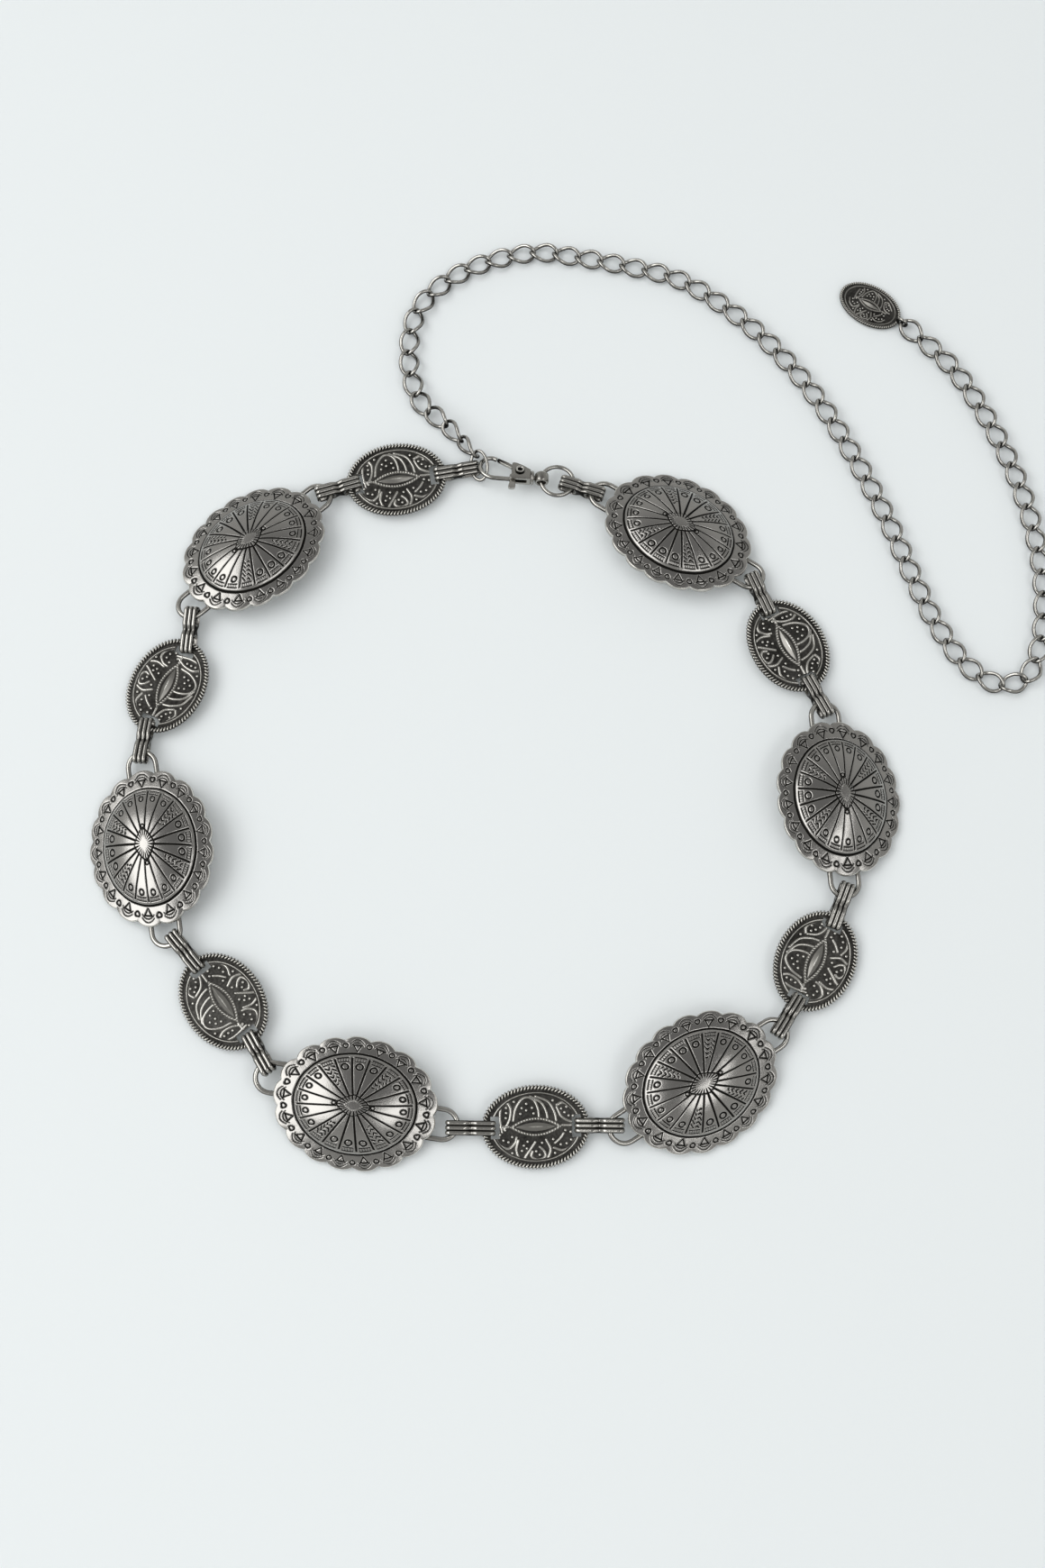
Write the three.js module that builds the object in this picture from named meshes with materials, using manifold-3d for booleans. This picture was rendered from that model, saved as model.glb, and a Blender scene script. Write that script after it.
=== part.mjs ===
// Pendant belt: six domed, scalloped conchos and six oval medallions joined by ribbed connectors.
// A swivel snap hook closes it on an end ring, from which a curb chain runs to a small oval pendant.
// Millimetres, +Z up. The belt lies closed on the plane z = 0, with the clasp at the far side (+Y).

import * as THREE from 'three';
import { mergeVertices } from 'three/addons/utils/BufferGeometryUtils.js';
import Module from 'manifold-3d';

const wasm = await Module();
wasm.setup();

// Driving dimensions

const clearance = 0.3;

const concho = {
  halfLength: 28.25,
  halfWidth: 22.75,
  scallops: 17,
  pointsPerScallop: 3,
  scallopDepth: 1.3,
  edge: 1.5,
  lozengeHalfLength: 6,
  lozengeHalfWidth: 3.7,
  lozengeRoundness: 1.3,
  leanDegrees: 12,
};

// Rings of the hollow underside and of the domed top: a share of the half sizes, and a height
const conchoUnderside = [
  { share: 0.3, height: 6.3, points: 8 },
  { share: 0.65, height: 3, points: 12 },
  { share: 0.9, height: 0, points: 17 },
];
const conchoTop = [
  { share: 0.77, height: 2.7, points: 18 },
  { share: 0.735, height: 3.4, points: 18 },
  { share: 0.5, height: 6.2, points: 14 },
];
const conchoCrown = { foot: 7.9, top: 8.7, points: 8 };

// A D-shaped wire loop soldered under each end of a concho
const loop = {
  wireRadius: 0.88,
  arcRadius: 5.15,
  arcCentre: 30.15,
  legStart: 25,
  arcSteps: 4,
  sides: 5,
  height: -0.35,
  slide: 1,
};

const medallion = {
  halfLength: 18.45,
  halfWidth: 14.2,
  points: 18,
  edge: 0.9,
  fieldHeight: 1.1,
  borderHeight: 1.9,
  undersideInset: 0.5,
  borderInset: 1.1,
  fieldInset: 2.3,
  slotInner: 12.3,
  slotOuter: 15.3,
  slotLength: 7.5,
  leanDegrees: 6,
  middleHeight: 3.25,
};

// The pointed oval boss in a medallion's middle
const marquise = {
  halfLength: 8.9,
  halfWidth: 3.1,
  ridgeHalfLength: 7.1,
  ridgeHalfWidth: 1.5,
  height: 1.9,
  points: 8,
};

const connector = {
  length: 17.3,
  width: 5,
  height: 4.5,
  sheet: 0.55,
  eyeLength: 6,
  corner: 0.8,
  waistHalfLength: 1.8,
  waistPinch: 0.5,
  skew: 0.4,
  sag: 0.15,
  droop: 0.25,
  rollShare: 0.5,
};

const chain = {
  links: 63,
  linkHalfLength: 4.93,
  linkHalfWidth: 3.27,
  wireRadius: 0.66,
  steps: 10,
  sides: 5,
  twistDegrees: 45,
  height: 2.1,
};

const pendant = {
  halfLength: 12.6,
  halfWidth: 8.2,
  turnDegrees: 11.5,
  points: 14,
  thickness: 1.9,
  edge: 0.9,
  fieldHeight: 1.2,
  undersideInset: 0.4,
  borderInset: 0.8,
  fieldInset: 1.6,
  bailRadius: 1.8,
  bailWireRadius: 0.6,
  bailSteps: 8,
  bailSides: 5,
};

// The pendant's own small boss
const pendantMarquise = {
  halfLength: 5.6,
  halfWidth: 1.2,
  ridgeHalfLength: 4.4,
  ridgeHalfWidth: 0.5,
  points: 8,
};

// How far the bail's middle lies beyond the pendant's edge
const bailOffset = pendant.bailRadius - pendant.bailWireRadius;

const endRing = { halfWidth: 3.35, halfLength: 5.4, wireRadius: 0.58, holdOffset: 0.6, steps: 12, sides: 5 };

const swivelRing = { radius: 5.95, wireRadius: 0.72, inset: 0.17, steps: 12, sides: 5 };

const clasp = {
  thickness: 3.4,
  slotThickness: 1.8,
  slotLength: 8,
  slotWidth: 12,
  slotMiddle: -1.4,
  gateThickness: 1.2,
  bowWireRadius: 0.75,
  rivetRadius: 0.8,
  rivetHeadRadius: 1.8,
  rivetHeadThickness: 0.5,
  neckY: -1.9,
  neckX: 4,
  collarRadius: 2.6,
  collarLength: 1.2,
  stemRadius: 0.95,
  stemInside: 0.7,
  stemOverlap: 0.4,
  stemBoreLength: 4,
  knuckleRadius: 2.6,
  knuckleBore: 1.55,
  knuckleWidth: 4,
};

// Where the pieces lie. Heading is that of the concho's notched end or of the medallion's slot axis.
const beltCentre = new THREE.Vector2(-9, -4);

const conchoPlaces = [
  { name: 'concho_1', x: -97.4, y: 86.5, heading: 40.5, shiftAtNotch: 1.2, shiftAtLobe: -1.9 },
  { name: 'concho_2', x: -129.5, y: -24.7, heading: -80.2, shiftAtNotch: 0.7, shiftAtLobe: 0 },
  { name: 'concho_3', x: -56.7, y: -113.8, heading: -8.6, shiftAtNotch: -2.6, shiftAtLobe: 4.3 },
  { name: 'concho_4', x: 60.4, y: -106.6, heading: 32.7, shiftAtNotch: 0, shiftAtLobe: 0.9 },
  { name: 'concho_5', x: 111, y: -6.8, heading: 94.5, shiftAtNotch: 1, shiftAtLobe: 0.9 },
  { name: 'concho_6', x: 56.3, y: 92.8, heading: 148.5, shiftAtNotch: 1, shiftAtLobe: 0 },
];

const medallionPlaces = [
  { name: 'medallion_a', x: -46.2, y: 114.5, heading: 7.7, lean: 0 },
  { name: 'medallion_b', x: -126.9, y: 35.3, heading: 65.9, lean: medallion.leanDegrees },
  { name: 'medallion_c', x: -103, y: -78.6, heading: -52.5, lean: medallion.leanDegrees },
  { name: 'medallion_d', x: 4.5, y: -121.4, heading: 1.7, lean: medallion.leanDegrees },
  { name: 'medallion_e', x: 101.3, y: -64.4, heading: 63.5, lean: medallion.leanDegrees },
  { name: 'medallion_f', x: 95.3, y: 50.4, heading: -63.1, lean: medallion.leanDegrees },
];

const endRingPlace = { x: -15.9, y: 119.7, z: 4.15, riseX: 28, riseY: 15 };
const claspPlace = {
  x: -1,
  y: 116.3,
  z: 5.05,
  roll: -20,
  pitch: 3,
  swivelTurn: 12,
  ringHeading: -6,
  heading: -3,
};

// The chain's route, chosen by hand from the end ring to the pendant; lift is above its lying height
const chainRoute = [
  { x: -19.9, y: 126.6, lift: 2.3 },
  { x: -28.5, y: 136.3, lift: 1.6 },
  { x: -37.5, y: 145.5, lift: 0.4 },
  { x: -41.5, y: 157, lift: 0 },
  { x: -42.3, y: 169, lift: 0 },
  { x: -39, y: 183.5, lift: 0 },
  { x: -30, y: 194, lift: 0 },
  { x: -15, y: 202.5, lift: 0 },
  { x: 5, y: 207, lift: 0 },
  { x: 20, y: 205.3, lift: 0 },
  { x: 40, y: 201.3, lift: 0 },
  { x: 58, y: 196.3, lift: 0 },
  { x: 75, y: 185.5, lift: 0 },
  { x: 92, y: 170, lift: 0 },
  { x: 108, y: 149.5, lift: 0 },
  { x: 122, y: 124.5, lift: 0 },
  { x: 134, y: 98, lift: 0 },
  { x: 142, y: 76.5, lift: 0 },
  { x: 149, y: 60, lift: 0 },
  { x: 160, y: 43, lift: 0 },
  { x: 171, y: 36.3, lift: 0 },
  { x: 180.5, y: 38.8, lift: 0 },
  { x: 186.3, y: 51, lift: 0 },
  { x: 188.8, y: 72, lift: 0 },
  { x: 186.7, y: 95, lift: 0 },
  { x: 181, y: 117.5, lift: 0 },
  { x: 171, y: 141.5, lift: 0 },
  { x: 160, y: 160, lift: 0 },
  { x: 145.6, y: 174.6, lift: 0.4 },
];

// Extra roll of the links that hold the end ring and the pendant's bail
const linkRolls = [
  { link: 0, degrees: -80 },
  { link: 1, degrees: -60 },
  { link: 2, degrees: -40 },
  { link: 3, degrees: -20 },
  { link: chain.links - 1, degrees: -35 },
];

// Finishes

const antiqueSilver = () => new THREE.MeshStandardMaterial({ color: 0x8c8b87, roughness: 0.42, metalness: 1 });
const darkSilver = () => new THREE.MeshStandardMaterial({ color: 0x6f6e6a, roughness: 0.5, metalness: 1 });
const brightSilver = () => new THREE.MeshStandardMaterial({ color: 0xa9a8a4, roughness: 0.3, metalness: 1 });

// Solids

const degrees = THREE.MathUtils.degToRad;

function onlyPositions(geometry) {
  const plain = geometry.clone();
  plain.deleteAttribute('normal');
  plain.deleteAttribute('uv');
  return mergeVertices(plain, 1e-4);
}

// A closed geometry as a solid, with its faces turned outwards
function solidFrom(geometry) {
  const merged = onlyPositions(geometry);
  const points = merged.getAttribute('position');
  const faces = Array.from(merged.getIndex().array);
  const corner = (k) => new THREE.Vector3().fromBufferAttribute(points, faces[k]);
  let volume = 0;
  for (let k = 0; k < faces.length; k += 3) {
    volume += corner(k).dot(corner(k + 1).cross(corner(k + 2)));
  }
  if (volume < 0) {
    faces.reverse();
  }
  const vertProperties = new Float32Array(points.array);
  const triVerts = new Uint32Array(faces);
  return new wasm.Manifold(new wasm.Mesh({ numProp: 3, vertProperties, triVerts }));
}

function geometryFrom(solid) {
  const { vertProperties, triVerts } = solid.getMesh();
  const geometry = new THREE.BufferGeometry();
  geometry.setAttribute('position', new THREE.BufferAttribute(vertProperties, 3));
  geometry.setIndex(new THREE.BufferAttribute(triVerts, 1));
  const creased = geometry.toNonIndexed();
  creased.computeVertexNormals();
  return creased;
}

function joined(geometries) {
  const solids = geometries.map(solidFrom);
  return solids.reduce((whole, solid) => whole.add(solid));
}

function cut(solid, geometries) {
  return geometries.reduce((rest, geometry) => rest.subtract(solidFrom(geometry)), solid);
}

// Points spaced evenly round an ellipse, anticlockwise from its +X end
function ovalRing(halfLength, halfWidth, height, points) {
  const curve = new THREE.EllipseCurve(0, 0, halfLength, halfWidth);
  const spaced = curve.getSpacedPoints(points).slice(0, points);
  return spaced.map((point) => new THREE.Vector3(point.x, point.y, height));
}

// A band of triangles between two rings that may have different numbers of points
function joinRings(first, second, faces) {
  let i = 0;
  let j = 0;
  while (i < first.count || j < second.count) {
    const here = first.start + (i % first.count);
    const there = second.start + (j % second.count);
    const advanceFirst = (i + 1) / first.count <= (j + 1) / second.count;
    if (advanceFirst && i < first.count) {
      i += 1;
      faces.push(here, first.start + (i % first.count), there);
    } else {
      j += 1;
      faces.push(here, second.start + (j % second.count), there);
    }
  }
}

// A closed body from rings, listed from its underside's middle, by its edge, to its top's middle
function bodyFromRings(rings) {
  const positions = [];
  const bands = [];
  for (const ring of rings) {
    bands.push({ start: positions.length / 3, count: ring.length });
    ring.forEach((point) => positions.push(point.x, point.y, point.z));
  }
  const faces = [];
  for (let k = 0; k + 1 < bands.length; k += 1) {
    joinRings(bands[k], bands[k + 1], faces);
  }
  const under = bands[0];
  for (let k = 1; k + 1 < under.count; k += 1) {
    faces.push(under.start, under.start + k + 1, under.start + k);
  }
  const top = bands[bands.length - 1];
  for (let k = 1; k + 1 < top.count; k += 1) {
    faces.push(top.start, top.start + k, top.start + k + 1);
  }
  const geometry = new THREE.BufferGeometry();
  geometry.setAttribute('position', new THREE.Float32BufferAttribute(positions, 3));
  geometry.setIndex(faces);
  return geometry;
}

// A round wire along a path, with flat ends
function wireAlong(path, radius, steps, sides) {
  const section = new THREE.Shape();
  for (let k = 0; k < sides; k += 1) {
    const angle = (2 * Math.PI * k) / sides;
    const x = radius * Math.cos(angle);
    const y = radius * Math.sin(angle);
    if (k === 0) {
      section.moveTo(x, y);
    } else {
      section.lineTo(x, y);
    }
  }
  section.closePath();
  return new THREE.ExtrudeGeometry(section, { steps, extrudePath: path });
}

function shapeFrom(points) {
  return new THREE.Shape(points.map(([x, y]) => new THREE.Vector2(x, y)));
}

// A flat plate in the XY plane with its thickness centred on z = 0
function plate(shape, thickness, curveSegments = 4) {
  const geometry = new THREE.ExtrudeGeometry(shape, { depth: thickness, bevelEnabled: false, curveSegments });
  return geometry.translate(0, 0, -thickness / 2);
}

// A round bar along X
function barAlongX(radius, length, sides) {
  return new THREE.CylinderGeometry(radius, radius, length, sides).rotateZ(Math.PI / 2);
}

// Concho

function scallopedRing(height) {
  const points = concho.pointsPerScallop * concho.scallops;
  const ring = ovalRing(concho.halfLength, concho.halfWidth, height, points);
  return ring.map((point, k) => {
    if (k % concho.pointsPerScallop !== 0) {
      return point;
    }
    const reach = Math.hypot(point.x, point.y);
    const notch = 1 - concho.scallopDepth / reach;
    return new THREE.Vector3(point.x * notch, point.y * notch, point.z);
  });
}

// A rhombus with rounded corners
function lozengeRing(height) {
  const { lozengeHalfLength: long, lozengeHalfWidth: wide, lozengeRoundness: roundness } = concho;
  return Array.from({ length: conchoCrown.points }, (_, k) => {
    const angle = (2 * Math.PI * k) / conchoCrown.points;
    const x = Math.cos(angle);
    const y = Math.sin(angle);
    const norm = Math.abs(x) ** roundness + Math.abs(y) ** roundness;
    const reach = norm ** (-1 / roundness);
    return new THREE.Vector3(long * x * reach, wide * y * reach, height);
  });
}

function conchoRing({ share, height, points }) {
  return ovalRing(concho.halfLength * share, concho.halfWidth * share, height, points);
}

// The soldered loop at the end that lies towards side (+1 notch, -1 lobe), moved sideways by shift
function loopGeometry(side, shift) {
  const points = [new THREE.Vector3(loop.legStart, -loop.arcRadius, loop.height)];
  for (let k = 0; k <= loop.arcSteps; k += 1) {
    const angle = -Math.PI / 2 + (Math.PI * k) / loop.arcSteps;
    const x = loop.arcCentre + loop.arcRadius * Math.cos(angle);
    points.push(new THREE.Vector3(x, loop.arcRadius * Math.sin(angle), loop.height));
  }
  points.push(new THREE.Vector3(loop.legStart, loop.arcRadius, loop.height));
  const path = new THREE.CatmullRomCurve3(points);
  const wire = wireAlong(path, loop.wireRadius, points.length, loop.sides);
  if (side < 0) {
    wire.rotateZ(Math.PI);
  }
  return wire.translate(0, shift, 0);
}

function conchoGeometry(place) {
  const rings = [
    ...conchoUnderside.map(conchoRing),
    scallopedRing(0),
    scallopedRing(concho.edge),
    ...conchoTop.map(conchoRing),
    lozengeRing(conchoCrown.foot),
    lozengeRing(conchoCrown.top),
  ];
  const solid = joined([
    bodyFromRings(rings),
    loopGeometry(1, place.shiftAtNotch),
    loopGeometry(-1, place.shiftAtLobe),
  ]);
  return geometryFrom(solid);
}

// Medallion

// A pointed oval between two parabolas
function marquiseRing(halfLength, halfWidth, height, points) {
  return Array.from({ length: points }, (_, k) => {
    const angle = (2 * Math.PI * k) / points;
    const side = Math.sign(Math.sin(angle));
    return new THREE.Vector3(halfLength * Math.cos(angle), side * halfWidth * Math.sin(angle) ** 2, height);
  });
}

// A boss's foot and the edge of its flat top
function marquiseRings(boss, foot, top) {
  return [
    marquiseRing(boss.halfLength, boss.halfWidth, foot, boss.points),
    marquiseRing(boss.ridgeHalfLength, boss.ridgeHalfWidth, top, boss.points),
  ];
}

function slotGeometry(side) {
  const length = medallion.slotOuter - medallion.slotInner;
  const middle = (medallion.slotOuter + medallion.slotInner) / 2;
  const throughBothFaces = 4 * medallion.borderHeight;
  return new THREE.BoxGeometry(length, medallion.slotLength, throughBothFaces).translate(side * middle, 0, 0);
}

function medallionGeometry() {
  const { halfLength, halfWidth, points } = medallion;
  const oval = (inset, height) => ovalRing(halfLength - inset, halfWidth - inset, height, points);
  const rings = [
    oval(medallion.undersideInset, 0),
    oval(0, medallion.edge),
    oval(medallion.borderInset, medallion.borderHeight),
    oval(medallion.fieldInset, medallion.fieldHeight),
    ...marquiseRings(marquise, medallion.fieldHeight, marquise.height),
  ];
  const body = solidFrom(bodyFromRings(rings));
  return geometryFrom(cut(body, [slotGeometry(1), slotGeometry(-1)]));
}

// Connector: a strap folded into two long eyes, its side view extruded across its width

function connectorGeometry() {
  const end = connector.length / 2;
  const top = connector.height / 2;
  const { corner, waistHalfLength: waist, waistPinch: pinch, sheet, eyeLength } = connector;
  const outline = shapeFrom([
    [-end, corner - top],
    [corner - end, -top],
    [-waist, -top],
    [0, pinch - top],
    [waist, -top],
    [end - corner, -top],
    [end, corner - top],
    [end, top - corner],
    [end - corner, top],
    [waist, top],
    [0, top - pinch],
    [-waist, top],
    [corner - end, top],
    [-end, top - corner],
  ]);
  const strap = solidFrom(plate(outline, connector.width).rotateX(Math.PI / 2));
  const eyes = [-1, 1].map((side) => {
    const middle = end - sheet - eyeLength / 2;
    const eye = new THREE.BoxGeometry(eyeLength, 2 * connector.width, connector.height - 2 * sheet);
    return eye.translate(side * middle, 0, 0);
  });
  return geometryFrom(cut(strap, eyes));
}

// A mesh whose X axis runs from start to end, with its Y axis as near as may be to sideways
function spanConnector(name, start, end, sideways) {
  const along = end.clone().sub(start).normalize();
  const up = along.clone().cross(sideways).normalize();
  const across = up.clone().cross(along);
  const mesh = new THREE.Mesh(connectorGeometry(), brightSilver());
  mesh.name = name;
  mesh.quaternion.setFromRotationMatrix(new THREE.Matrix4().makeBasis(along, across, up));
  mesh.position.copy(start).addScaledVector(along, connector.length / 2);
  return mesh;
}

// Curb chain

// A point of a link's middle line, in the link's own frame
function linkPoint(angle, roll) {
  const along = Math.cos(angle);
  const across = chain.linkHalfWidth * Math.sin(angle);
  const twist = degrees(chain.twistDegrees) * along + roll;
  return new THREE.Vector3(chain.linkHalfLength * along, across * Math.cos(twist), across * Math.sin(twist));
}

// A link's wire, with one edge of its section turned to the link's middle, where the next link lies
function linkGeometry(roll) {
  const { steps, sides, wireRadius } = chain;
  const positions = [];
  const faces = [];
  for (let i = 0; i < steps; i += 1) {
    const angle = (2 * Math.PI * (i + 0.5)) / steps;
    const centre = linkPoint(angle, roll);
    const tangent = linkPoint(angle + 0.01, roll).sub(linkPoint(angle - 0.01, roll)).normalize();
    const inward = centre.clone().negate().projectOnPlane(tangent).normalize();
    const side = tangent.clone().cross(inward);
    for (let j = 0; j < sides; j += 1) {
      const turn = (2 * Math.PI * j) / sides;
      const point = centre.clone()
        .addScaledVector(inward, wireRadius * Math.cos(turn))
        .addScaledVector(side, wireRadius * Math.sin(turn));
      positions.push(point.x, point.y, point.z);
      const here = i * sides + j;
      const beside = i * sides + ((j + 1) % sides);
      const ahead = ((i + 1) % steps) * sides + j;
      const diagonal = ((i + 1) % steps) * sides + ((j + 1) % sides);
      faces.push(here, ahead, diagonal, here, diagonal, beside);
    }
  }
  const geometry = new THREE.BufferGeometry();
  geometry.setAttribute('position', new THREE.Float32BufferAttribute(positions, 3));
  geometry.setIndex(faces);
  return geometry;
}

const routeCurve = new THREE.CatmullRomCurve3(
  chainRoute.map(({ x, y, lift }) => new THREE.Vector3(x, y, chain.height + lift)),
);
routeCurve.arcLengthDivisions = 2000;

// The frame of a link: X along the route, Y level
function linkFrame(index) {
  const at = index / (chain.links - 1);
  const along = routeCurve.getTangentAt(at);
  const across = new THREE.Vector3(0, 0, 1).cross(along).normalize();
  const up = along.clone().cross(across);
  return new THREE.Matrix4().makeBasis(along, across, up).setPosition(routeCurve.getPointAt(at));
}

function chainGeometry() {
  const links = [];
  for (let index = 0; index < chain.links; index += 1) {
    const extra = linkRolls.find((row) => row.link === index);
    const roll = extra ? degrees(extra.degrees) : 0;
    links.push(solidFrom(linkGeometry(roll).applyMatrix4(linkFrame(index))));
  }
  return geometryFrom(wasm.Manifold.union(links));
}

// Pendant: a small oval plate with an upright wire bail, whose X axis points to the chain

function pendantGeometry() {
  const { halfLength, halfWidth, points, thickness } = pendant;
  const oval = (inset, height) => ovalRing(halfLength - inset, halfWidth - inset, height, points);
  const rings = [
    oval(pendant.undersideInset, 0),
    oval(0, pendant.edge),
    oval(pendant.borderInset, thickness),
    oval(pendant.fieldInset, pendant.fieldHeight),
    ...marquiseRings(pendantMarquise, pendant.fieldHeight, thickness),
  ];
  const { bailRadius, bailWireRadius, bailSides, bailSteps } = pendant;
  const bail = new THREE.TorusGeometry(bailRadius, bailWireRadius, bailSides, bailSteps)
    .rotateX(Math.PI / 2)
    .translate(halfLength + bailOffset, 0, bailRadius + bailWireRadius);
  return geometryFrom(joined([bodyFromRings(rings), bail]));
}

// Rings

function endRingGeometry() {
  const { halfWidth, halfLength, wireRadius, steps, sides } = endRing;
  const oval = new THREE.CatmullRomCurve3(ovalRing(halfWidth, halfLength, 0, steps), true);
  return geometryFrom(solidFrom(new THREE.TubeGeometry(oval, steps, wireRadius, sides, true)));
}

function swivelRingGeometry() {
  const { radius, wireRadius, steps, sides } = swivelRing;
  return geometryFrom(solidFrom(new THREE.TorusGeometry(radius, wireRadius, sides, steps)));
}

// Clasp. In its own frame the rivet is at the origin, X runs to the swivel and Y to the gate.

function claspHookGeometry() {
  const body = plate(shapeFrom([
    [-8.6, -3.9],
    [clasp.neckX, -3.9],
    [clasp.neckX, 0.8],
    [-2.4, 3.7],
    [-3.9, -1.8],
    [-5.4, -2.4],
    [-8.6, -2.4],
  ]), clasp.thickness);
  const bowPoints = [
    [-7.6, -3.15],
    [-10.6, -2.9],
    [-13.2, -1.4],
    [-14.5, 1.2],
    [-14.1, 4],
    [-12.3, 6],
    [-10.2, 6.4],
    [-8.7, 5.8],
  ];
  const bowPath = new THREE.CatmullRomCurve3(bowPoints.map(([x, y]) => new THREE.Vector3(x, y, 0)));
  const bow = wireAlong(bowPath, clasp.bowWireRadius, 9, 5);
  const collar = barAlongX(clasp.collarRadius, clasp.collarLength, 10)
    .translate(clasp.neckX + clasp.collarLength / 2, clasp.neckY, 0);
  const slot = new THREE.BoxGeometry(clasp.slotLength, clasp.slotWidth, clasp.slotThickness)
    .translate(clasp.slotMiddle, 0, 0);
  const rivetHole = new THREE.CylinderGeometry(
    clasp.rivetRadius + clearance, clasp.rivetRadius + clearance, 2 * clasp.thickness, 10,
  ).rotateX(Math.PI / 2);
  const stemBore = barAlongX(clasp.stemRadius + clearance, clasp.stemBoreLength, 8)
    .translate(clasp.neckX + 1, clasp.neckY, 0);
  return geometryFrom(cut(joined([body, bow, collar]), [slot, rivetHole, stemBore]));
}

function claspGateGeometry() {
  const lever = shapeFrom([
    [1.2, -1.2],
    [1.7, 0.3],
    [0.8, 1.6],
    [-2.2, 3.1],
    [-7.7, 6],
    [-8.3, 4.8],
    [-3, 1.7],
    [-1.9, 0],
    [-3.4, -4],
    [-4, -6.8],
    [-3.4, -7.9],
    [-2.2, -7.9],
    [-1.4, -6.8],
    [-1.5, -3.6],
    [-0.6, -1.7],
  ]);
  const hole = new THREE.Path();
  hole.absarc(0, 0, clasp.rivetRadius + clearance, 0, 2 * Math.PI, true);
  lever.holes.push(hole);
  return geometryFrom(solidFrom(plate(lever, clasp.gateThickness, 5)));
}

function claspRivetGeometry() {
  const headFrom = clasp.thickness / 2 + clearance;
  const headTo = headFrom + clasp.rivetHeadThickness;
  const profile = [
    [0, -headTo],
    [clasp.rivetHeadRadius, -headTo],
    [clasp.rivetHeadRadius, -headFrom],
    [clasp.rivetRadius, -headFrom],
    [clasp.rivetRadius, headFrom],
    [clasp.rivetHeadRadius, headFrom],
    [clasp.rivetHeadRadius, headTo],
    [0, headTo],
  ].map(([radius, height]) => new THREE.Vector2(radius, height));
  const rivet = new THREE.LatheGeometry(profile, 8).rotateX(Math.PI / 2);
  return geometryFrom(solidFrom(rivet));
}

// The swivel's stem lies on the X axis and its knuckle holds the round ring
const knuckleX = clasp.neckX + clasp.collarLength + clearance + clasp.knuckleRadius;

function claspSwivelGeometry() {
  const outline = new THREE.Shape();
  outline.absarc(0, 0, clasp.knuckleRadius, 0, 2 * Math.PI, false);
  const bore = new THREE.Path();
  bore.absarc(0, 0, clasp.knuckleBore, 0, 2 * Math.PI, true);
  outline.holes.push(bore);
  const knuckle = plate(outline, clasp.knuckleWidth, 6).rotateX(Math.PI / 2).translate(knuckleX, 0, 0);
  const stemEnd = knuckleX - clasp.knuckleBore - clasp.stemOverlap;
  const stemStart = clasp.neckX - clasp.stemInside;
  const stem = barAlongX(clasp.stemRadius, stemEnd - stemStart, 8).translate((stemEnd + stemStart) / 2, 0, 0);
  return geometryFrom(joined([knuckle, stem]));
}

// Assembly

const belt = new THREE.Group();

function addMesh(parent, name, geometry, material) {
  const mesh = new THREE.Mesh(geometry, material);
  mesh.name = name;
  parent.add(mesh);
  return mesh;
}

// A frame on the surface, leaning about its own X axis so that the side towards the belt's middle is raised
function leaningFrame(place, leanDegrees, height) {
  const frame = new THREE.Group();
  const heading = degrees(place.heading);
  const toMiddle = beltCentre.clone().sub(new THREE.Vector2(place.x, place.y));
  const inward = Math.sign(toMiddle.y * Math.cos(heading) - toMiddle.x * Math.sin(heading));
  frame.position.set(place.x, place.y, height);
  frame.rotation.set(inward * degrees(leanDegrees), 0, heading, 'ZYX');
  belt.add(frame);
  frame.updateMatrixWorld(true);
  return frame;
}

const sidewaysOf = (frame) => new THREE.Vector3(0, 1, 0).transformDirection(frame.matrixWorld);

const conchoFrames = new Map();
for (const place of conchoPlaces) {
  const axisHeight = concho.halfWidth * Math.sin(degrees(concho.leanDegrees));
  const frame = leaningFrame(place, concho.leanDegrees, axisHeight);
  frame.userData.place = place;
  addMesh(frame, place.name, conchoGeometry(place), antiqueSilver());
  conchoFrames.set(place.name, frame);
}

const medallionFrames = new Map();
for (const place of medallionPlaces) {
  const frame = leaningFrame(place, place.lean, medallion.middleHeight - medallion.borderHeight / 2);
  addMesh(frame, place.name, medallionGeometry(), darkSilver());
  medallionFrames.set(place.name, frame);
}

const ringFrame = new THREE.Group();
ringFrame.position.set(endRingPlace.x, endRingPlace.y, endRingPlace.z);
ringFrame.rotation.set(degrees(endRingPlace.riseY), -degrees(endRingPlace.riseX), 0, 'YXZ');
belt.add(ringFrame);
addMesh(ringFrame, 'end_ring', endRingGeometry(), brightSilver());

const claspFrame = new THREE.Group();
claspFrame.position.set(claspPlace.x, claspPlace.y, claspPlace.z);
claspFrame.rotation.set(
  degrees(claspPlace.roll), degrees(claspPlace.pitch), degrees(claspPlace.heading), 'ZYX',
);
belt.add(claspFrame);
addMesh(claspFrame, 'clasp_hook', claspHookGeometry(), brightSilver());
addMesh(claspFrame, 'clasp_gate', claspGateGeometry(), brightSilver());
addMesh(claspFrame, 'clasp_rivet', claspRivetGeometry(), brightSilver());

const swivelFrame = new THREE.Group();
swivelFrame.position.set(0, clasp.neckY, 0);
swivelFrame.rotation.set(degrees(claspPlace.swivelTurn), 0, 0);
claspFrame.add(swivelFrame);
addMesh(swivelFrame, 'clasp_swivel', claspSwivelGeometry(), brightSilver());

const swivelRingFrame = new THREE.Group();
swivelRingFrame.position.set(knuckleX, 0, 0);
swivelRingFrame.rotation.set(0, 0, degrees(claspPlace.ringHeading));
swivelFrame.add(swivelRingFrame);
const swivelRingMesh = addMesh(swivelRingFrame, 'swivel_ring', swivelRingGeometry(), brightSilver());
swivelRingMesh.position.set(swivelRing.radius - swivelRing.inset, 0, 0);
belt.updateMatrixWorld(true);

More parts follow.
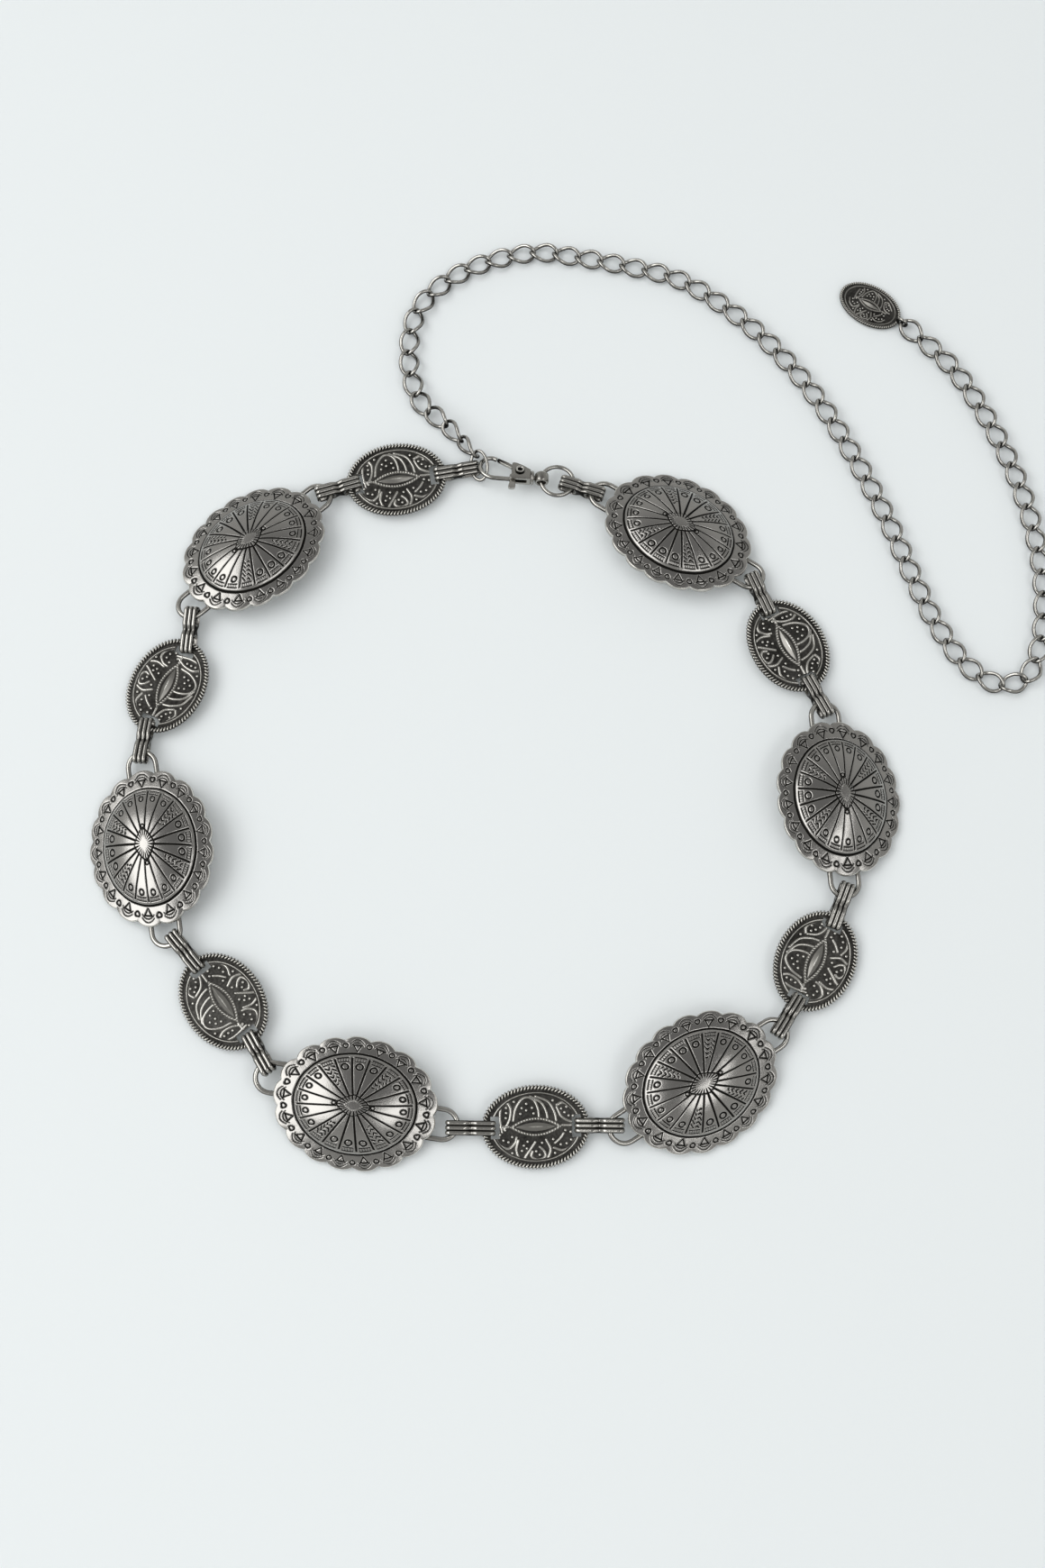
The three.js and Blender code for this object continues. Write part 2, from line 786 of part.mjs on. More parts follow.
addMesh(belt, 'curb_chain', chainGeometry(), brightSilver());

const pendantFrame = new THREE.Group();
const lastLink = linkFrame(chain.links - 1);
const lastAlong = new THREE.Vector3().setFromMatrixColumn(lastLink, 0).setZ(0).normalize();
const pendantHeading = Math.atan2(lastAlong.y, lastAlong.x) + degrees(pendant.turnDegrees);
const pendantAlong = new THREE.Vector3(Math.cos(pendantHeading), Math.sin(pendantHeading), 0);
pendantFrame.position.setFromMatrixPosition(lastLink);
pendantFrame.position.addScaledVector(lastAlong, chain.linkHalfLength);
pendantFrame.position.addScaledVector(pendantAlong, bailOffset + pendant.halfLength).setZ(0);
pendantFrame.rotation.set(0, 0, pendantHeading + Math.PI);
belt.add(pendantFrame);
addMesh(pendantFrame, 'pendant', pendantGeometry(), darkSilver());

// Connectors between a concho's loop and a medallion's slot: end 1 is +X and end -1 is -X of each piece

const conchoToMedallion = [
  { concho: 'concho_1', conchoEnd: 1, medallion: 'medallion_a', medallionEnd: -1 },
  { concho: 'concho_1', conchoEnd: -1, medallion: 'medallion_b', medallionEnd: 1 },
  { concho: 'concho_2', conchoEnd: -1, medallion: 'medallion_b', medallionEnd: -1 },
  { concho: 'concho_2', conchoEnd: 1, medallion: 'medallion_c', medallionEnd: -1 },
  { concho: 'concho_3', conchoEnd: -1, medallion: 'medallion_c', medallionEnd: 1 },
  { concho: 'concho_3', conchoEnd: 1, medallion: 'medallion_d', medallionEnd: -1 },
  { concho: 'concho_4', conchoEnd: -1, medallion: 'medallion_d', medallionEnd: 1 },
  { concho: 'concho_4', conchoEnd: 1, medallion: 'medallion_e', medallionEnd: -1 },
  { concho: 'concho_5', conchoEnd: -1, medallion: 'medallion_e', medallionEnd: 1 },
  { concho: 'concho_5', conchoEnd: 1, medallion: 'medallion_f', medallionEnd: 1 },
  { concho: 'concho_6', conchoEnd: -1, medallion: 'medallion_f', medallionEnd: -1 },
];

// The middle of a loop's arc
function loopCentre(frame, end) {
  const { shiftAtNotch, shiftAtLobe } = frame.userData.place;
  const shift = end > 0 ? shiftAtNotch : shiftAtLobe;
  return new THREE.Vector3(end * loop.arcCentre, shift, loop.height).applyMatrix4(frame.matrixWorld);
}

// Where a connector crosses a loop's wire: it slides along the arc towards the line that it is pulled in
function loopAnchor(frame, end, target, pull) {
  const centre = loopCentre(frame, end);
  const normal = new THREE.Vector3(0, 0, 1).transformDirection(frame.matrixWorld);
  const slide = target.clone().sub(centre).projectOnPlane(pull).projectOnPlane(normal);
  slide.clampLength(0, loop.slide);
  const aim = centre.clone().add(slide);
  const towards = target.clone().sub(aim).projectOnPlane(normal).normalize();
  const reach = Math.sqrt(loop.arcRadius ** 2 - slide.lengthSq());
  return aim.addScaledVector(towards, reach);
}

// The bar between a medallion's slot and its edge lies a little below the middle of the connector's eye
const barHalfWidth = (medallion.halfLength - medallion.slotOuter) / 2;

function barAnchor(frame, end) {
  const reach = end * (medallion.slotOuter + barHalfWidth);
  const height = medallion.borderHeight / 2 + connector.sag;
  return new THREE.Vector3(reach, 0, height).applyMatrix4(frame.matrixWorld);
}

// How far a connector's end reaches past what it holds, pulled tight and slack
const pastBar = {
  tight: barHalfWidth + clearance + connector.skew + connector.sheet,
  slack: barHalfWidth + medallion.slotOuter - medallion.slotInner - clearance - connector.skew,
};

// The flat end of an eye lies across the inside of a wire's bend, so it stays clear of it by the bend's rise
function pastWire(wireRadius, bendRadius) {
  const inside = bendRadius - wireRadius;
  const rise = inside - Math.sqrt(inside ** 2 - (connector.width / 2) ** 2);
  return {
    tight: connector.sheet + clearance + connector.skew + rise + wireRadius,
    slack: connector.sheet + connector.eyeLength - clearance - wireRadius,
  };
}

// Shares the connector's spare length between its two ends, and places it between two anchors
function hangConnector(name, from, pastFrom, to, pastTo, sideways) {
  const spare = connector.length - from.distanceTo(to) - pastFrom.tight - pastTo.tight;
  const room = pastFrom.slack - pastFrom.tight + pastTo.slack - pastTo.tight;
  const share = spare / room;
  const back = pastFrom.tight + share * (pastFrom.slack - pastFrom.tight);
  const along = to.clone().sub(from).normalize();
  const start = from.clone().addScaledVector(along, -back);
  belt.add(spanConnector(name, start, to, sideways));
}

const pastLoop = pastWire(loop.wireRadius, loop.arcRadius);
for (const row of conchoToMedallion) {
  const conchoFrame = conchoFrames.get(row.concho);
  const medallionFrame = medallionFrames.get(row.medallion);
  const bar = barAnchor(medallionFrame, row.medallionEnd);
  const pull = new THREE.Vector3(1, 0, 0).transformDirection(medallionFrame.matrixWorld);
  const wire = loopAnchor(conchoFrame, row.conchoEnd, bar, pull);
  const across = sidewaysOf(medallionFrame).multiplyScalar(row.medallionEnd * row.conchoEnd);
  const sideways = sidewaysOf(conchoFrame).multiplyScalar(-connector.rollShare).add(across);
  wire.z -= connector.droop;
  const name = `connector_${row.concho.slice(-1)}${row.medallion.slice(-1)}`;
  hangConnector(name, wire, pastLoop, bar, pastBar, sideways);
}

// Connector from the medallion nearest the clasp to the end ring

const nearBar = barAnchor(medallionFrames.get('medallion_a'), 1);
const ringWire = new THREE.Vector3(-endRing.halfWidth, -endRing.holdOffset, 0);
ringWire.applyMatrix4(ringFrame.matrixWorld);
const ringSideways = sidewaysOf(ringFrame).add(sidewaysOf(medallionFrames.get('medallion_a')));
const pastRing = pastWire(endRing.wireRadius, endRing.halfLength ** 2 / endRing.halfWidth);
hangConnector('connector_a_ring', ringWire, pastRing, nearBar, pastBar, ringSideways);

// Connector from the swivel ring to the last concho

const swivelCentre = new THREE.Vector3().setFromMatrixPosition(swivelRingMesh.matrixWorld);
const lastConcho = conchoFrames.get('concho_6');
const lastPull = swivelCentre.clone().sub(loopCentre(lastConcho, 1)).normalize();
const lastWire = loopAnchor(lastConcho, 1, swivelCentre, lastPull);
const swivelNormal = new THREE.Vector3(0, 0, 1).transformDirection(swivelRingMesh.matrixWorld);
const swivelTowards = lastWire.clone().sub(swivelCentre).projectOnPlane(swivelNormal).normalize();
const swivelWire = swivelCentre.clone().addScaledVector(swivelTowards, swivelRing.radius);
const swivelSideways = swivelNormal.clone().cross(swivelTowards);
const pastSwivel = pastWire(swivelRing.wireRadius, swivelRing.radius);
hangConnector('connector_swivel_6', swivelWire, pastSwivel, lastWire, pastLoop, swivelSideways);

// The origin goes under the middle of the whole piece, on the surface

const box = new THREE.Box3().setFromObject(belt, true);
const middle = box.getCenter(new THREE.Vector3());
belt.position.set(-middle.x, -middle.y, -box.min.z);

export default belt;
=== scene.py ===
"""Looks of a pendant belt in antiqued silver: conchos, medallions, connectors, snap hook, chain and pendant.

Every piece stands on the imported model's frame. The tables are in millimetres, and meshes are made in metres.
"""

import math

import bmesh
import bpy
import numpy as np
from mathutils import Matrix, Vector


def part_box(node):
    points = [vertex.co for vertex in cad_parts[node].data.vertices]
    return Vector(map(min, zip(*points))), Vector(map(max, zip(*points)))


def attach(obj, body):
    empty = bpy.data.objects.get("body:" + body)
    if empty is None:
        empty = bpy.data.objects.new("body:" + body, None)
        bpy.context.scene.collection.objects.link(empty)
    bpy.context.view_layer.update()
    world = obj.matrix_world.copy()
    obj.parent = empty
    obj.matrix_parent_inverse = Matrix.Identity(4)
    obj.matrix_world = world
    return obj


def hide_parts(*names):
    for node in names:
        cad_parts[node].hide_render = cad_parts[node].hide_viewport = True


bl_info = {
    "name": "Pendant belt",
    "version": (1, 0, 0),
    "blender": (4, 5, 0),
    "location": "3D View > Sidebar > Belt",
    "description": "Dresses the packed model of a concho chain belt in antiqued silver",
    "category": "Object",
}

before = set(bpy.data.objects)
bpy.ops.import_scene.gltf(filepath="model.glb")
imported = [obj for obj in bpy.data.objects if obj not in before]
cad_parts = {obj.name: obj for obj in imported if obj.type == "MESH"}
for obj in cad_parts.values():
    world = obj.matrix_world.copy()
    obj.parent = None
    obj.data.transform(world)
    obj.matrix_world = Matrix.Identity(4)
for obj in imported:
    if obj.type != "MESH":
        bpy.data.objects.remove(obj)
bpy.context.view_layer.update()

MM = 0.001

# Where the pieces lie in plan, in the frame of the photograph's centre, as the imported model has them
BELT_CENTRE = Vector((-9, -4))
CONCHO_PLACES = {
    "1": {"at": (-97.4, 86.5), "heading": 40.5, "notch_shift": 1.2, "lobe_shift": -1.9},
    "2": {"at": (-129.5, -24.7), "heading": -80.2, "notch_shift": 0.7, "lobe_shift": 0},
    "3": {"at": (-56.7, -113.8), "heading": -8.6, "notch_shift": -2.6, "lobe_shift": 4.3},
    "4": {"at": (60.4, -106.6), "heading": 32.7, "notch_shift": 0, "lobe_shift": 0.9},
    "5": {"at": (111, -6.8), "heading": 94.5, "notch_shift": 1, "lobe_shift": 0.9},
    "6": {"at": (56.3, 92.8), "heading": 148.5, "notch_shift": 1, "lobe_shift": 0},
}
# The turned medallions have their fan of ribs on the other side of the slots' line
MEDALLION_PLACES = {
    "a": {"at": (-46.2, 114.5), "heading": 7.7, "lean": 0, "turned": False},
    "b": {"at": (-126.9, 35.3), "heading": 65.9, "lean": 6, "turned": True},
    "c": {"at": (-103, -78.6), "heading": -52.5, "lean": 6, "turned": True},
    "d": {"at": (4.5, -121.4), "heading": 1.7, "lean": 6, "turned": False},
    "e": {"at": (101.3, -64.4), "heading": 63.5, "lean": 6, "turned": False},
    "f": {"at": (95.3, 50.4), "heading": -63.1, "lean": 6, "turned": False},
}
END_RING_PLACE = {"at": (-15.9, 119.7, 4.15), "rise_x": 28, "rise_y": 15}
CLASP_PLACE = {
    "at": (-1, 116.3, 5.05), "roll": -20, "pitch": 3, "heading": -3, "swivel_turn": 12, "ring_heading": -6,
}

# The chain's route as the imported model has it: x, y and the height above its lying height
CHAIN_ROUTE = [
    (-19.9, 126.6, 2.3), (-28.5, 136.3, 1.6), (-37.5, 145.5, 0.4), (-41.5, 157, 0), (-42.3, 169, 0),
    (-39, 183.5, 0), (-30, 194, 0), (-15, 202.5, 0), (5, 207, 0), (20, 205.3, 0), (40, 201.3, 0),
    (58, 196.3, 0), (75, 185.5, 0), (92, 170, 0), (108, 149.5, 0), (122, 124.5, 0), (134, 98, 0),
    (142, 76.5, 0), (149, 60, 0), (160, 43, 0), (171, 36.3, 0), (180.5, 38.8, 0), (186.3, 51, 0),
    (188.8, 72, 0), (186.7, 95, 0), (181, 117.5, 0), (171, 141.5, 0), (160, 160, 0), (145.6, 174.6, 0.4),
]

CONCHO = {
    "half_length": 28.25, "half_width": 22.75, "scallops": 17, "edge": 1.5, "lean": 12,
    "lozenge_length": 6, "lozenge_width": 3.7, "wall": 1.4,
}
LOOP = {"wire": 0.88, "arc": 5.15, "centre": 30.15, "leg_start": 24, "height": -0.35}
MEDALLION = {
    "half_length": 18.45, "half_width": 14.2, "field": 1.1, "border": 1.9, "middle_height": 3.25,
    "slot_inner": 12.3, "slot_outer": 15.3, "slot_length": 7.5,
}
CONNECTOR = {"length": 17.3, "width": 5, "height": 4.5, "sheet": 0.55, "eye": 6}
CHAIN = {"links": 63, "half_length": 4.93, "half_width": 3.27, "wire": 0.66, "twist": 45, "height": 2.1}
LINK_ROLLS = {0: -80, 1: -60, 2: -40, 3: -20, 62: -35}
PENDANT = {"half_length": 12.6, "half_width": 8.2, "turn": 11.5, "bail": 1.8, "bail_wire": 0.6}
END_RING = {"half_width": 3.35, "half_length": 5.4, "wire": 0.58}
SWIVEL_RING = {"radius": 5.95, "wire": 0.72, "inset": 0.17}
CLASP = {
    "thickness": 3.4, "slot": 1.35, "gate": 1.2, "bow_wire": 0.8, "rivet": 0.8, "head": 1.8,
    "head_height": 0.5, "neck_x": 4, "neck_y": -1.9, "collar": 2.6, "collar_length": 1.2, "stem": 0.95,
    "knuckle": 2.6, "bore": 1.55, "knuckle_width": 4, "clearance": 0.3,
}


# Places


def turn_x(degrees):
    return Matrix.Rotation(math.radians(degrees), 4, "X")


def turn_y(degrees):
    return Matrix.Rotation(math.radians(degrees), 4, "Y")


def turn_z(degrees):
    return Matrix.Rotation(math.radians(degrees), 4, "Z")


def belt_shift():
    """How far the model's origin lies from the photograph's centre, read from the level medallion's box"""
    low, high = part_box("medallion_a")
    x, y = MEDALLION_PLACES["a"]["at"]
    underside = MEDALLION["middle_height"] - MEDALLION["border"] / 2
    return Vector(((low.x + high.x) / 2 / MM - x, (low.y + high.y) / 2 / MM - y, low.z / MM - underside))


SHIFT = belt_shift()


def leaning_place(at, heading, lean, height):
    """A frame that leans about its own X axis, so that its side towards the belt's middle is raised"""
    to_middle = BELT_CENTRE - Vector(at)
    across = Vector((-math.sin(math.radians(heading)), math.cos(math.radians(heading))))
    inward = math.copysign(1, to_middle.dot(across))
    spot = Matrix.Translation(SHIFT + Vector((at[0], at[1], height)))
    return spot @ turn_z(heading) @ turn_x(inward * lean)


def concho_place(key):
    row = CONCHO_PLACES[key]
    height = CONCHO["half_width"] * math.sin(math.radians(CONCHO["lean"]))
    return leaning_place(row["at"], row["heading"], CONCHO["lean"], height)


def medallion_place(key):
    row = MEDALLION_PLACES[key]
    height = MEDALLION["middle_height"] - MEDALLION["border"] / 2
    half_turn = turn_z(180 if row["turned"] else 0)
    return leaning_place(row["at"], row["heading"], row["lean"], height) @ half_turn


def ring_place():
    spot = Matrix.Translation(SHIFT + Vector(END_RING_PLACE["at"]))
    return spot @ turn_y(-END_RING_PLACE["rise_x"]) @ turn_x(END_RING_PLACE["rise_y"])


def clasp_place():
    spot = Matrix.Translation(SHIFT + Vector(CLASP_PLACE["at"]))
    return spot @ turn_z(CLASP_PLACE["heading"]) @ turn_y(CLASP_PLACE["pitch"]) @ turn_x(CLASP_PLACE["roll"])


KNUCKLE_X = CLASP["neck_x"] + CLASP["collar_length"] + CLASP["clearance"] + CLASP["knuckle"]


def swivel_place():
    return clasp_place() @ Matrix.Translation((0, CLASP["neck_y"], 0)) @ turn_x(CLASP_PLACE["swivel_turn"])


def swivel_ring_place():
    reach = Matrix.Translation((SWIVEL_RING["radius"] - SWIVEL_RING["inset"], 0, 0))
    knuckle = swivel_place() @ Matrix.Translation((KNUCKLE_X, 0, 0))
    return knuckle @ turn_z(CLASP_PLACE["ring_heading"]) @ reach


def connector_place(node):
    """A connector's frame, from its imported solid, whose corners are even about its own three axes"""
    corners = np.array([v.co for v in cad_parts[node].data.vertices], float)
    corners = np.unique(np.round(corners / MM, 3), axis=0)
    middle = corners.mean(0)
    axes = np.linalg.eigh(np.cov((corners - middle).T))[1]
    along = Vector(axes[:, 2])
    up = max((Vector(axes[:, 0]), Vector(axes[:, 1])), key=lambda axis: abs(axis.z))
    up = up if up.z > 0 else -up
    across = up.cross(along)
    return Matrix.Translation(middle) @ Matrix((along, across, up)).transposed().to_4x4()


def route_curve(points, samples=40):
    """The centripetal curve through the route's points, as a dense list of points"""
    points = [Vector(p) for p in points]
    first = points[0] * 2 - points[1]
    last = points[-1] * 2 - points[-2]
    padded = [first, *points, last]
    dense = []
    for k in range(1, len(padded) - 2):
        p0, p1, p2, p3 = padded[k - 1 : k + 3]
        d0, d1, d2 = (math.sqrt((end - start).length) for start, end in ((p0, p1), (p1, p2), (p2, p3)))
        t1 = (p1 - p0) / d0 - (p2 - p0) / (d0 + d1) + (p2 - p1) / d1
        t2 = (p2 - p1) / d1 - (p3 - p1) / (d1 + d2) + (p3 - p2) / d2
        t1, t2 = t1 * d1, t2 * d1
        for j in range(samples):
            t = j / samples
            near = p1 * (2 * t**3 - 3 * t**2 + 1) + t1 * (t**3 - 2 * t**2 + t)
            dense.append(near + p2 * (3 * t**2 - 2 * t**3) + t2 * (t**3 - t**2))
    dense.append(points[-1])
    return np.array(dense)


def link_places():
    """Each link's frame: X along the route, Y level, and the extra roll of the links at the chain's ends"""
    lift = [(x + SHIFT.x, y + SHIFT.y, CHAIN["height"] + z + SHIFT.z) for x, y, z in CHAIN_ROUTE]
    dense = route_curve(lift)
    steps = np.linalg.norm(np.diff(dense, axis=0), axis=1)
    reach = np.concatenate([[0], np.cumsum(steps)])

    def point(distance):
        return Vector([np.interp(distance, reach, dense[:, axis]) for axis in range(3)])

    places = []
    beside = 0.4
    for index in range(CHAIN["links"]):
        at = reach[-1] * index / (CHAIN["links"] - 1)
        spot = point(at)
        along = (point(min(at + beside, reach[-1])) - point(max(at - beside, 0))).normalized()
        across = Vector((0, 0, 1)).cross(along).normalized()
        up = along.cross(across)
        place = Matrix.Translation(spot) @ Matrix((along, across, up)).transposed().to_4x4()
        places.append(place @ turn_x(LINK_ROLLS.get(index, 0)))
    return places


def pendant_place():
    last = link_places()[-1]
    along = Vector((last.col[0].x, last.col[0].y, 0)).normalized()
    heading = math.degrees(math.atan2(along.y, along.x)) + PENDANT["turn"]
    reach = turn_z(heading) @ Vector((PENDANT["bail"] - PENDANT["bail_wire"] + PENDANT["half_length"], 0, 0))
    spot = last.translation + along * CHAIN["half_length"] + reach
    return Matrix.Translation((spot.x, spot.y, SHIFT.z)) @ turn_z(heading + 180)


# Meshes: a shape is a set of corners in millimetres, its faces, and how far each corner is raised or engraved


class Shape:
    """Corners, faces and relief: -1 deep in an engraved line, 0 on plain ground, 1 on a worn high point"""

    def __init__(self, corners, faces, relief=None):
        self.corners = np.asarray(corners, float).reshape(-1, 3)
        self.faces = faces
        self.relief = np.zeros(len(self.corners)) if relief is None else np.asarray(relief, float).ravel()

    def placed(self, matrix):
        grid = np.array(matrix)
        corners = self.corners @ grid[:3, :3].T + grid[:3, 3]
        return Shape(corners, self.faces, self.relief)


def joined(shapes):
    corners, faces, relief = [], [], []
    start = 0
    for shape in shapes:
        corners.append(shape.corners)
        relief.append(shape.relief)
        faces.extend(tuple(k + start for k in face) for face in shape.faces)
        start += len(shape.corners)
    return Shape(np.concatenate(corners), faces, np.concatenate(relief))


def skin(rings, relief=None, ends=True):
    """A closed skin over rings of like points, from the middle of the first to the middle of the last"""
    rings = np.asarray(rings, float)
    rows, count = rings.shape[:2]
    index = np.arange(rows * count).reshape(rows, count)
    beside = np.roll(index, -1, axis=1)
    quads = np.stack([index[:-1], beside[:-1], beside[1:], index[1:]], axis=-1).reshape(-1, 4)
    faces = [tuple(face) for face in quads.tolist()]
    if ends:
        faces.append(tuple(index[0][::-1].tolist()))
        faces.append(tuple(index[-1].tolist()))
    return Shape(rings.reshape(-1, 3), faces, relief)


def wheel(rings, relief=None):
    """A skin over rings whose first and last rows close in a point each"""
    rings = np.asarray(rings, float)
    marks = np.zeros(rings.shape[:2]) if relief is None else np.asarray(relief, float)
    shape = skin(rings[1:-1], marks[1:-1], ends=False)
    start, count = len(shape.corners), rings.shape[1]
    last = start - count
    for k in range(count):
        beside = (k + 1) % count
        shape.faces.extend([(beside, k, start), (last + k, last + beside, start + 1)])
    corners = np.concatenate([shape.corners, rings[0, :1], rings[-1, :1]])
    return Shape(corners, shape.faces, np.concatenate([shape.relief, marks[0, :1], marks[-1, :1]]))


def turned(profile, sides):
    """Rings about Z, one for each (radius, height) pair"""
    angles = np.arange(sides) * 2 * math.pi / sides
    return [[(r * math.cos(a), r * math.sin(a), z) for a in angles] for r, z in profile]


def lathe(profile, sides):
    """A turned shape about Z from (radius, height) pairs that start and end on the axis"""
    return wheel(turned(profile, sides))


def mesh_of(name, shape):
    mesh = bpy.data.meshes.new(name)
    mesh.from_pydata((shape.corners * MM).tolist(), [], shape.faces)
    mesh.attributes.new("relief", "FLOAT", "POINT").data.foreach_set("value", shape.relief)
    mesh.update()
    return mesh


def tidied(mesh):
    """Merges doubled corners and turns the faces outwards"""
    doubled = 1e-7
    work = bmesh.new()
    work.from_mesh(mesh)
    bmesh.ops.remove_doubles(work, verts=work.verts, dist=doubled)
    bmesh.ops.recalc_face_normals(work, faces=work.faces)
    work.to_mesh(mesh)
    work.free()
    return mesh


def object_of(name, mesh, material=None, smooth=True):
    piece = bpy.data.objects.new(name, mesh)
    bpy.context.scene.collection.objects.link(piece)
    if material:
        mesh.materials.clear()
        mesh.materials.append(material)
    if smooth:
        mesh.shade_smooth()
    return piece


def solid(name, shape, material=None, smooth=True, tidy=False):
    """A shape as an object"""
    mesh = mesh_of(name, shape)
    return object_of(name, tidied(mesh) if tidy else mesh, material, smooth)


def applied(piece):
    """Turns a piece's modifiers into its mesh"""
    bpy.context.view_layer.update()
    graph = bpy.context.evaluated_depsgraph_get()
    result = piece.evaluated_get(graph)
    mesh = bpy.data.meshes.new_from_object(result, preserve_all_data_layers=True, depsgraph=graph)
    old = piece.data
    piece.modifiers.clear()
    piece.data = mesh
    bpy.data.meshes.remove(old)
    return piece


def painted_light_and_wear_by_facing(piece):
    """Sets the relief by facing: the top bright, partly as wear and partly as a painted highlight, and the
    flanks and underside dark as painted shade
    """
    low, high = -0.95, 0.5
    mesh = piece.data
    normals = np.zeros(len(mesh.vertices) * 3)
    mesh.vertex_normals.foreach_get("vector", normals)
    # Painted shade on faces turned sideways and down, and a painted highlight with some wear on faces turned
    # up
    relief = low + (high - low) * fade(normals[2::3], 0.25, 0.9)
    marks = mesh.attributes.get("relief") or mesh.attributes.new("relief", "FLOAT", "POINT")
    marks.data.foreach_set("value", relief)
    return piece


def rounded(piece, width, segments=3, angle=35):
    bevel = piece.modifiers.new("Rounded edges", "BEVEL")
    bevel.width = width * MM
    bevel.segments = segments
    bevel.limit_method = "ANGLE"
    bevel.angle_limit = math.radians(angle)
    bevel.harden_normals = False
    return applied(piece)


def cut_by(piece, cutters):
    """Cuts pieces out of a piece, and removes the cutters"""
    for cutter in cutters:
        step = piece.modifiers.new("Cut", "BOOLEAN")
        step.operation = "DIFFERENCE"
        step.solver = "EXACT"
        step.object = cutter
    applied(piece)
    for cutter in cutters:
        bpy.data.objects.remove(cutter)
    return piece


def box_shape(size, middle):
    sx, sy, sz = (value / 2 for value in size)
    low = [(-sx, -sy, -sz), (sx, -sy, -sz), (sx, sy, -sz), (-sx, sy, -sz)]
    high = [(x, y, -z) for x, y, z in low]
    corners = np.array(low + high) + np.array(middle)
    faces = [(3, 2, 1, 0), (4, 5, 6, 7), (0, 1, 5, 4), (1, 2, 6, 5), (2, 3, 7, 6), (3, 0, 4, 7)]
    return Shape(corners, faces)


def plate_shape(outline, thickness):
    """An outline in the XY plane as a plate with its middle on z = 0"""
    low = [(x, y, -thickness / 2) for x, y in outline]
    high = [(x, y, thickness / 2) for x, y in outline]
    return skin([low, high])


def spline(four, steps):
    """Places on a smooth curve, from the second of four points up to the third"""
    p0, p1, p2, p3 = four
    shares = [j / steps for j in range(steps)]
    bend, swing = 2 * p0 - 5 * p1 + 4 * p2 - p3, 3 * p1 - p0 - 3 * p2 + p3
    return [0.5 * (2 * p1 + (p2 - p0) * t + bend * t**2 + swing * t**3) for t in shares]


def smooth_outline(points, steps):
    """A closed smooth curve through points, where a repeated point keeps a corner sharp"""
    points = [Vector(p) for p in points]
    count = len(points)
    curve = []
    for k in range(count):
        four = [points[(k + j - 1) % count] for j in range(4)]
        if four[1] != four[2]:
            curve.extend(spline(four, steps))
    return [tuple(p) for p in curve]


# Geometry Nodes


def feed(tree, node, **inputs):
    """Links or sets a node's inputs: by name, or by number after an underscore"""
    for key, value in inputs.items():
        socket = node.inputs[int(key[1:]) if key[0] == "_" else key.replace("_", " ")]
        if isinstance(value, bpy.types.NodeSocket):
            tree.links.new(value, socket)
        else:
            socket.default_value = value
    return node


def add_node(tree, kind, settings=None, **inputs):
    """Adds a node with its settings and inputs"""
    node = tree.nodes.new(kind)
    for key, value in (settings or {}).items():
        setattr(node, key, value)
    return feed(tree, node, **inputs)


def cleared_tree(owner):
    """An empty node tree of a material or a world"""
    owner.use_nodes = True
    owner.node_tree.nodes.clear()
    return owner.node_tree


def new_tree(name, sockets):
    tree = bpy.data.node_groups.new(name, "GeometryNodeTree")
    tree.interface.new_socket(name="Geometry", in_out="OUTPUT", socket_type="NodeSocketGeometry")
    tree.interface.new_socket(name="Geometry", in_out="INPUT", socket_type="NodeSocketGeometry")
    for label, kind in sockets.items():
        tree.interface.new_socket(name=label, in_out="INPUT", socket_type=kind)
    return tree, tree.nodes.new("NodeGroupInput")


def finish_tree(tree, given, geometry):
    """Realizes what the tree set out, smooths it and gives it its material"""
    real = add_node(tree, "GeometryNodeRealizeInstances", Geometry=geometry)
    smooth = add_node(tree, "GeometryNodeSetShadeSmooth", Geometry=real.outputs[0])
    material = given.outputs["Material"]
    dressed = add_node(tree, "GeometryNodeSetMaterial", Geometry=smooth.outputs[0], Material=material)
    add_node(tree, "NodeGroupOutput", _0=dressed.outputs[0])


def wire_tree():
    """A round wire along each run of edges"""
    sockets = {"Wire Radius": "NodeSocketFloat", "Sides": "NodeSocketInt", "Material": "NodeSocketMaterial"}
    tree, given = new_tree("Wire along a path", sockets)
    path = add_node(tree, "GeometryNodeMeshToCurve", Mesh=given.outputs["Geometry"])
    sides, radius = given.outputs["Sides"], given.outputs["Wire Radius"]
    section = add_node(tree, "GeometryNodeCurvePrimitiveCircle", Resolution=sides, Radius=radius)
    run = {"Curve": path.outputs[0], "Profile_Curve": section.outputs[0], "Fill_Caps": True}
    wire = add_node(tree, "GeometryNodeCurveToMesh", **run)
    finish_tree(tree, given, wire.outputs[0])


def rows_tree():
    """Copies of one piece set out on marks, each turned and sized as its mark says"""
    sockets = {"Piece": "NodeSocketObject", "Material": "NodeSocketMaterial"}
    tree, given = new_tree("Pieces in a row", sockets)
    piece = add_node(tree, "GeometryNodeObjectInfo", Object=given.outputs["Piece"])
    vector = {"data_type": "FLOAT_VECTOR"}
    turn = add_node(tree, "GeometryNodeInputNamedAttribute", vector, Name="turn")
    reach = add_node(tree, "GeometryNodeInputNamedAttribute", vector, Name="reach")
    row = {"Points": given.outputs["Geometry"], "Instance": piece.outputs["Geometry"]}
    row.update(Rotation=turn.outputs[0], Scale=reach.outputs[0])
    copies = add_node(tree, "GeometryNodeInstanceOnPoints", **row)
    finish_tree(tree, given, copies.outputs[0])


def run_tree(piece, tree, **values):
    """Runs a tree on a piece with its inputs set, and keeps the result as the piece's mesh"""
    step = piece.modifiers.new(tree.name, "NODES")
    step.node_group = tree
    for item in tree.interface.items_tree:
        label = item.name.replace(" ", "_")
        if item.in_out == "INPUT" and label in values:
            step[item.identifier] = values[label]
    return applied(piece)


def silver_of(kind):
    return bpy.data.materials[f"antiqued_silver_{kind}"]


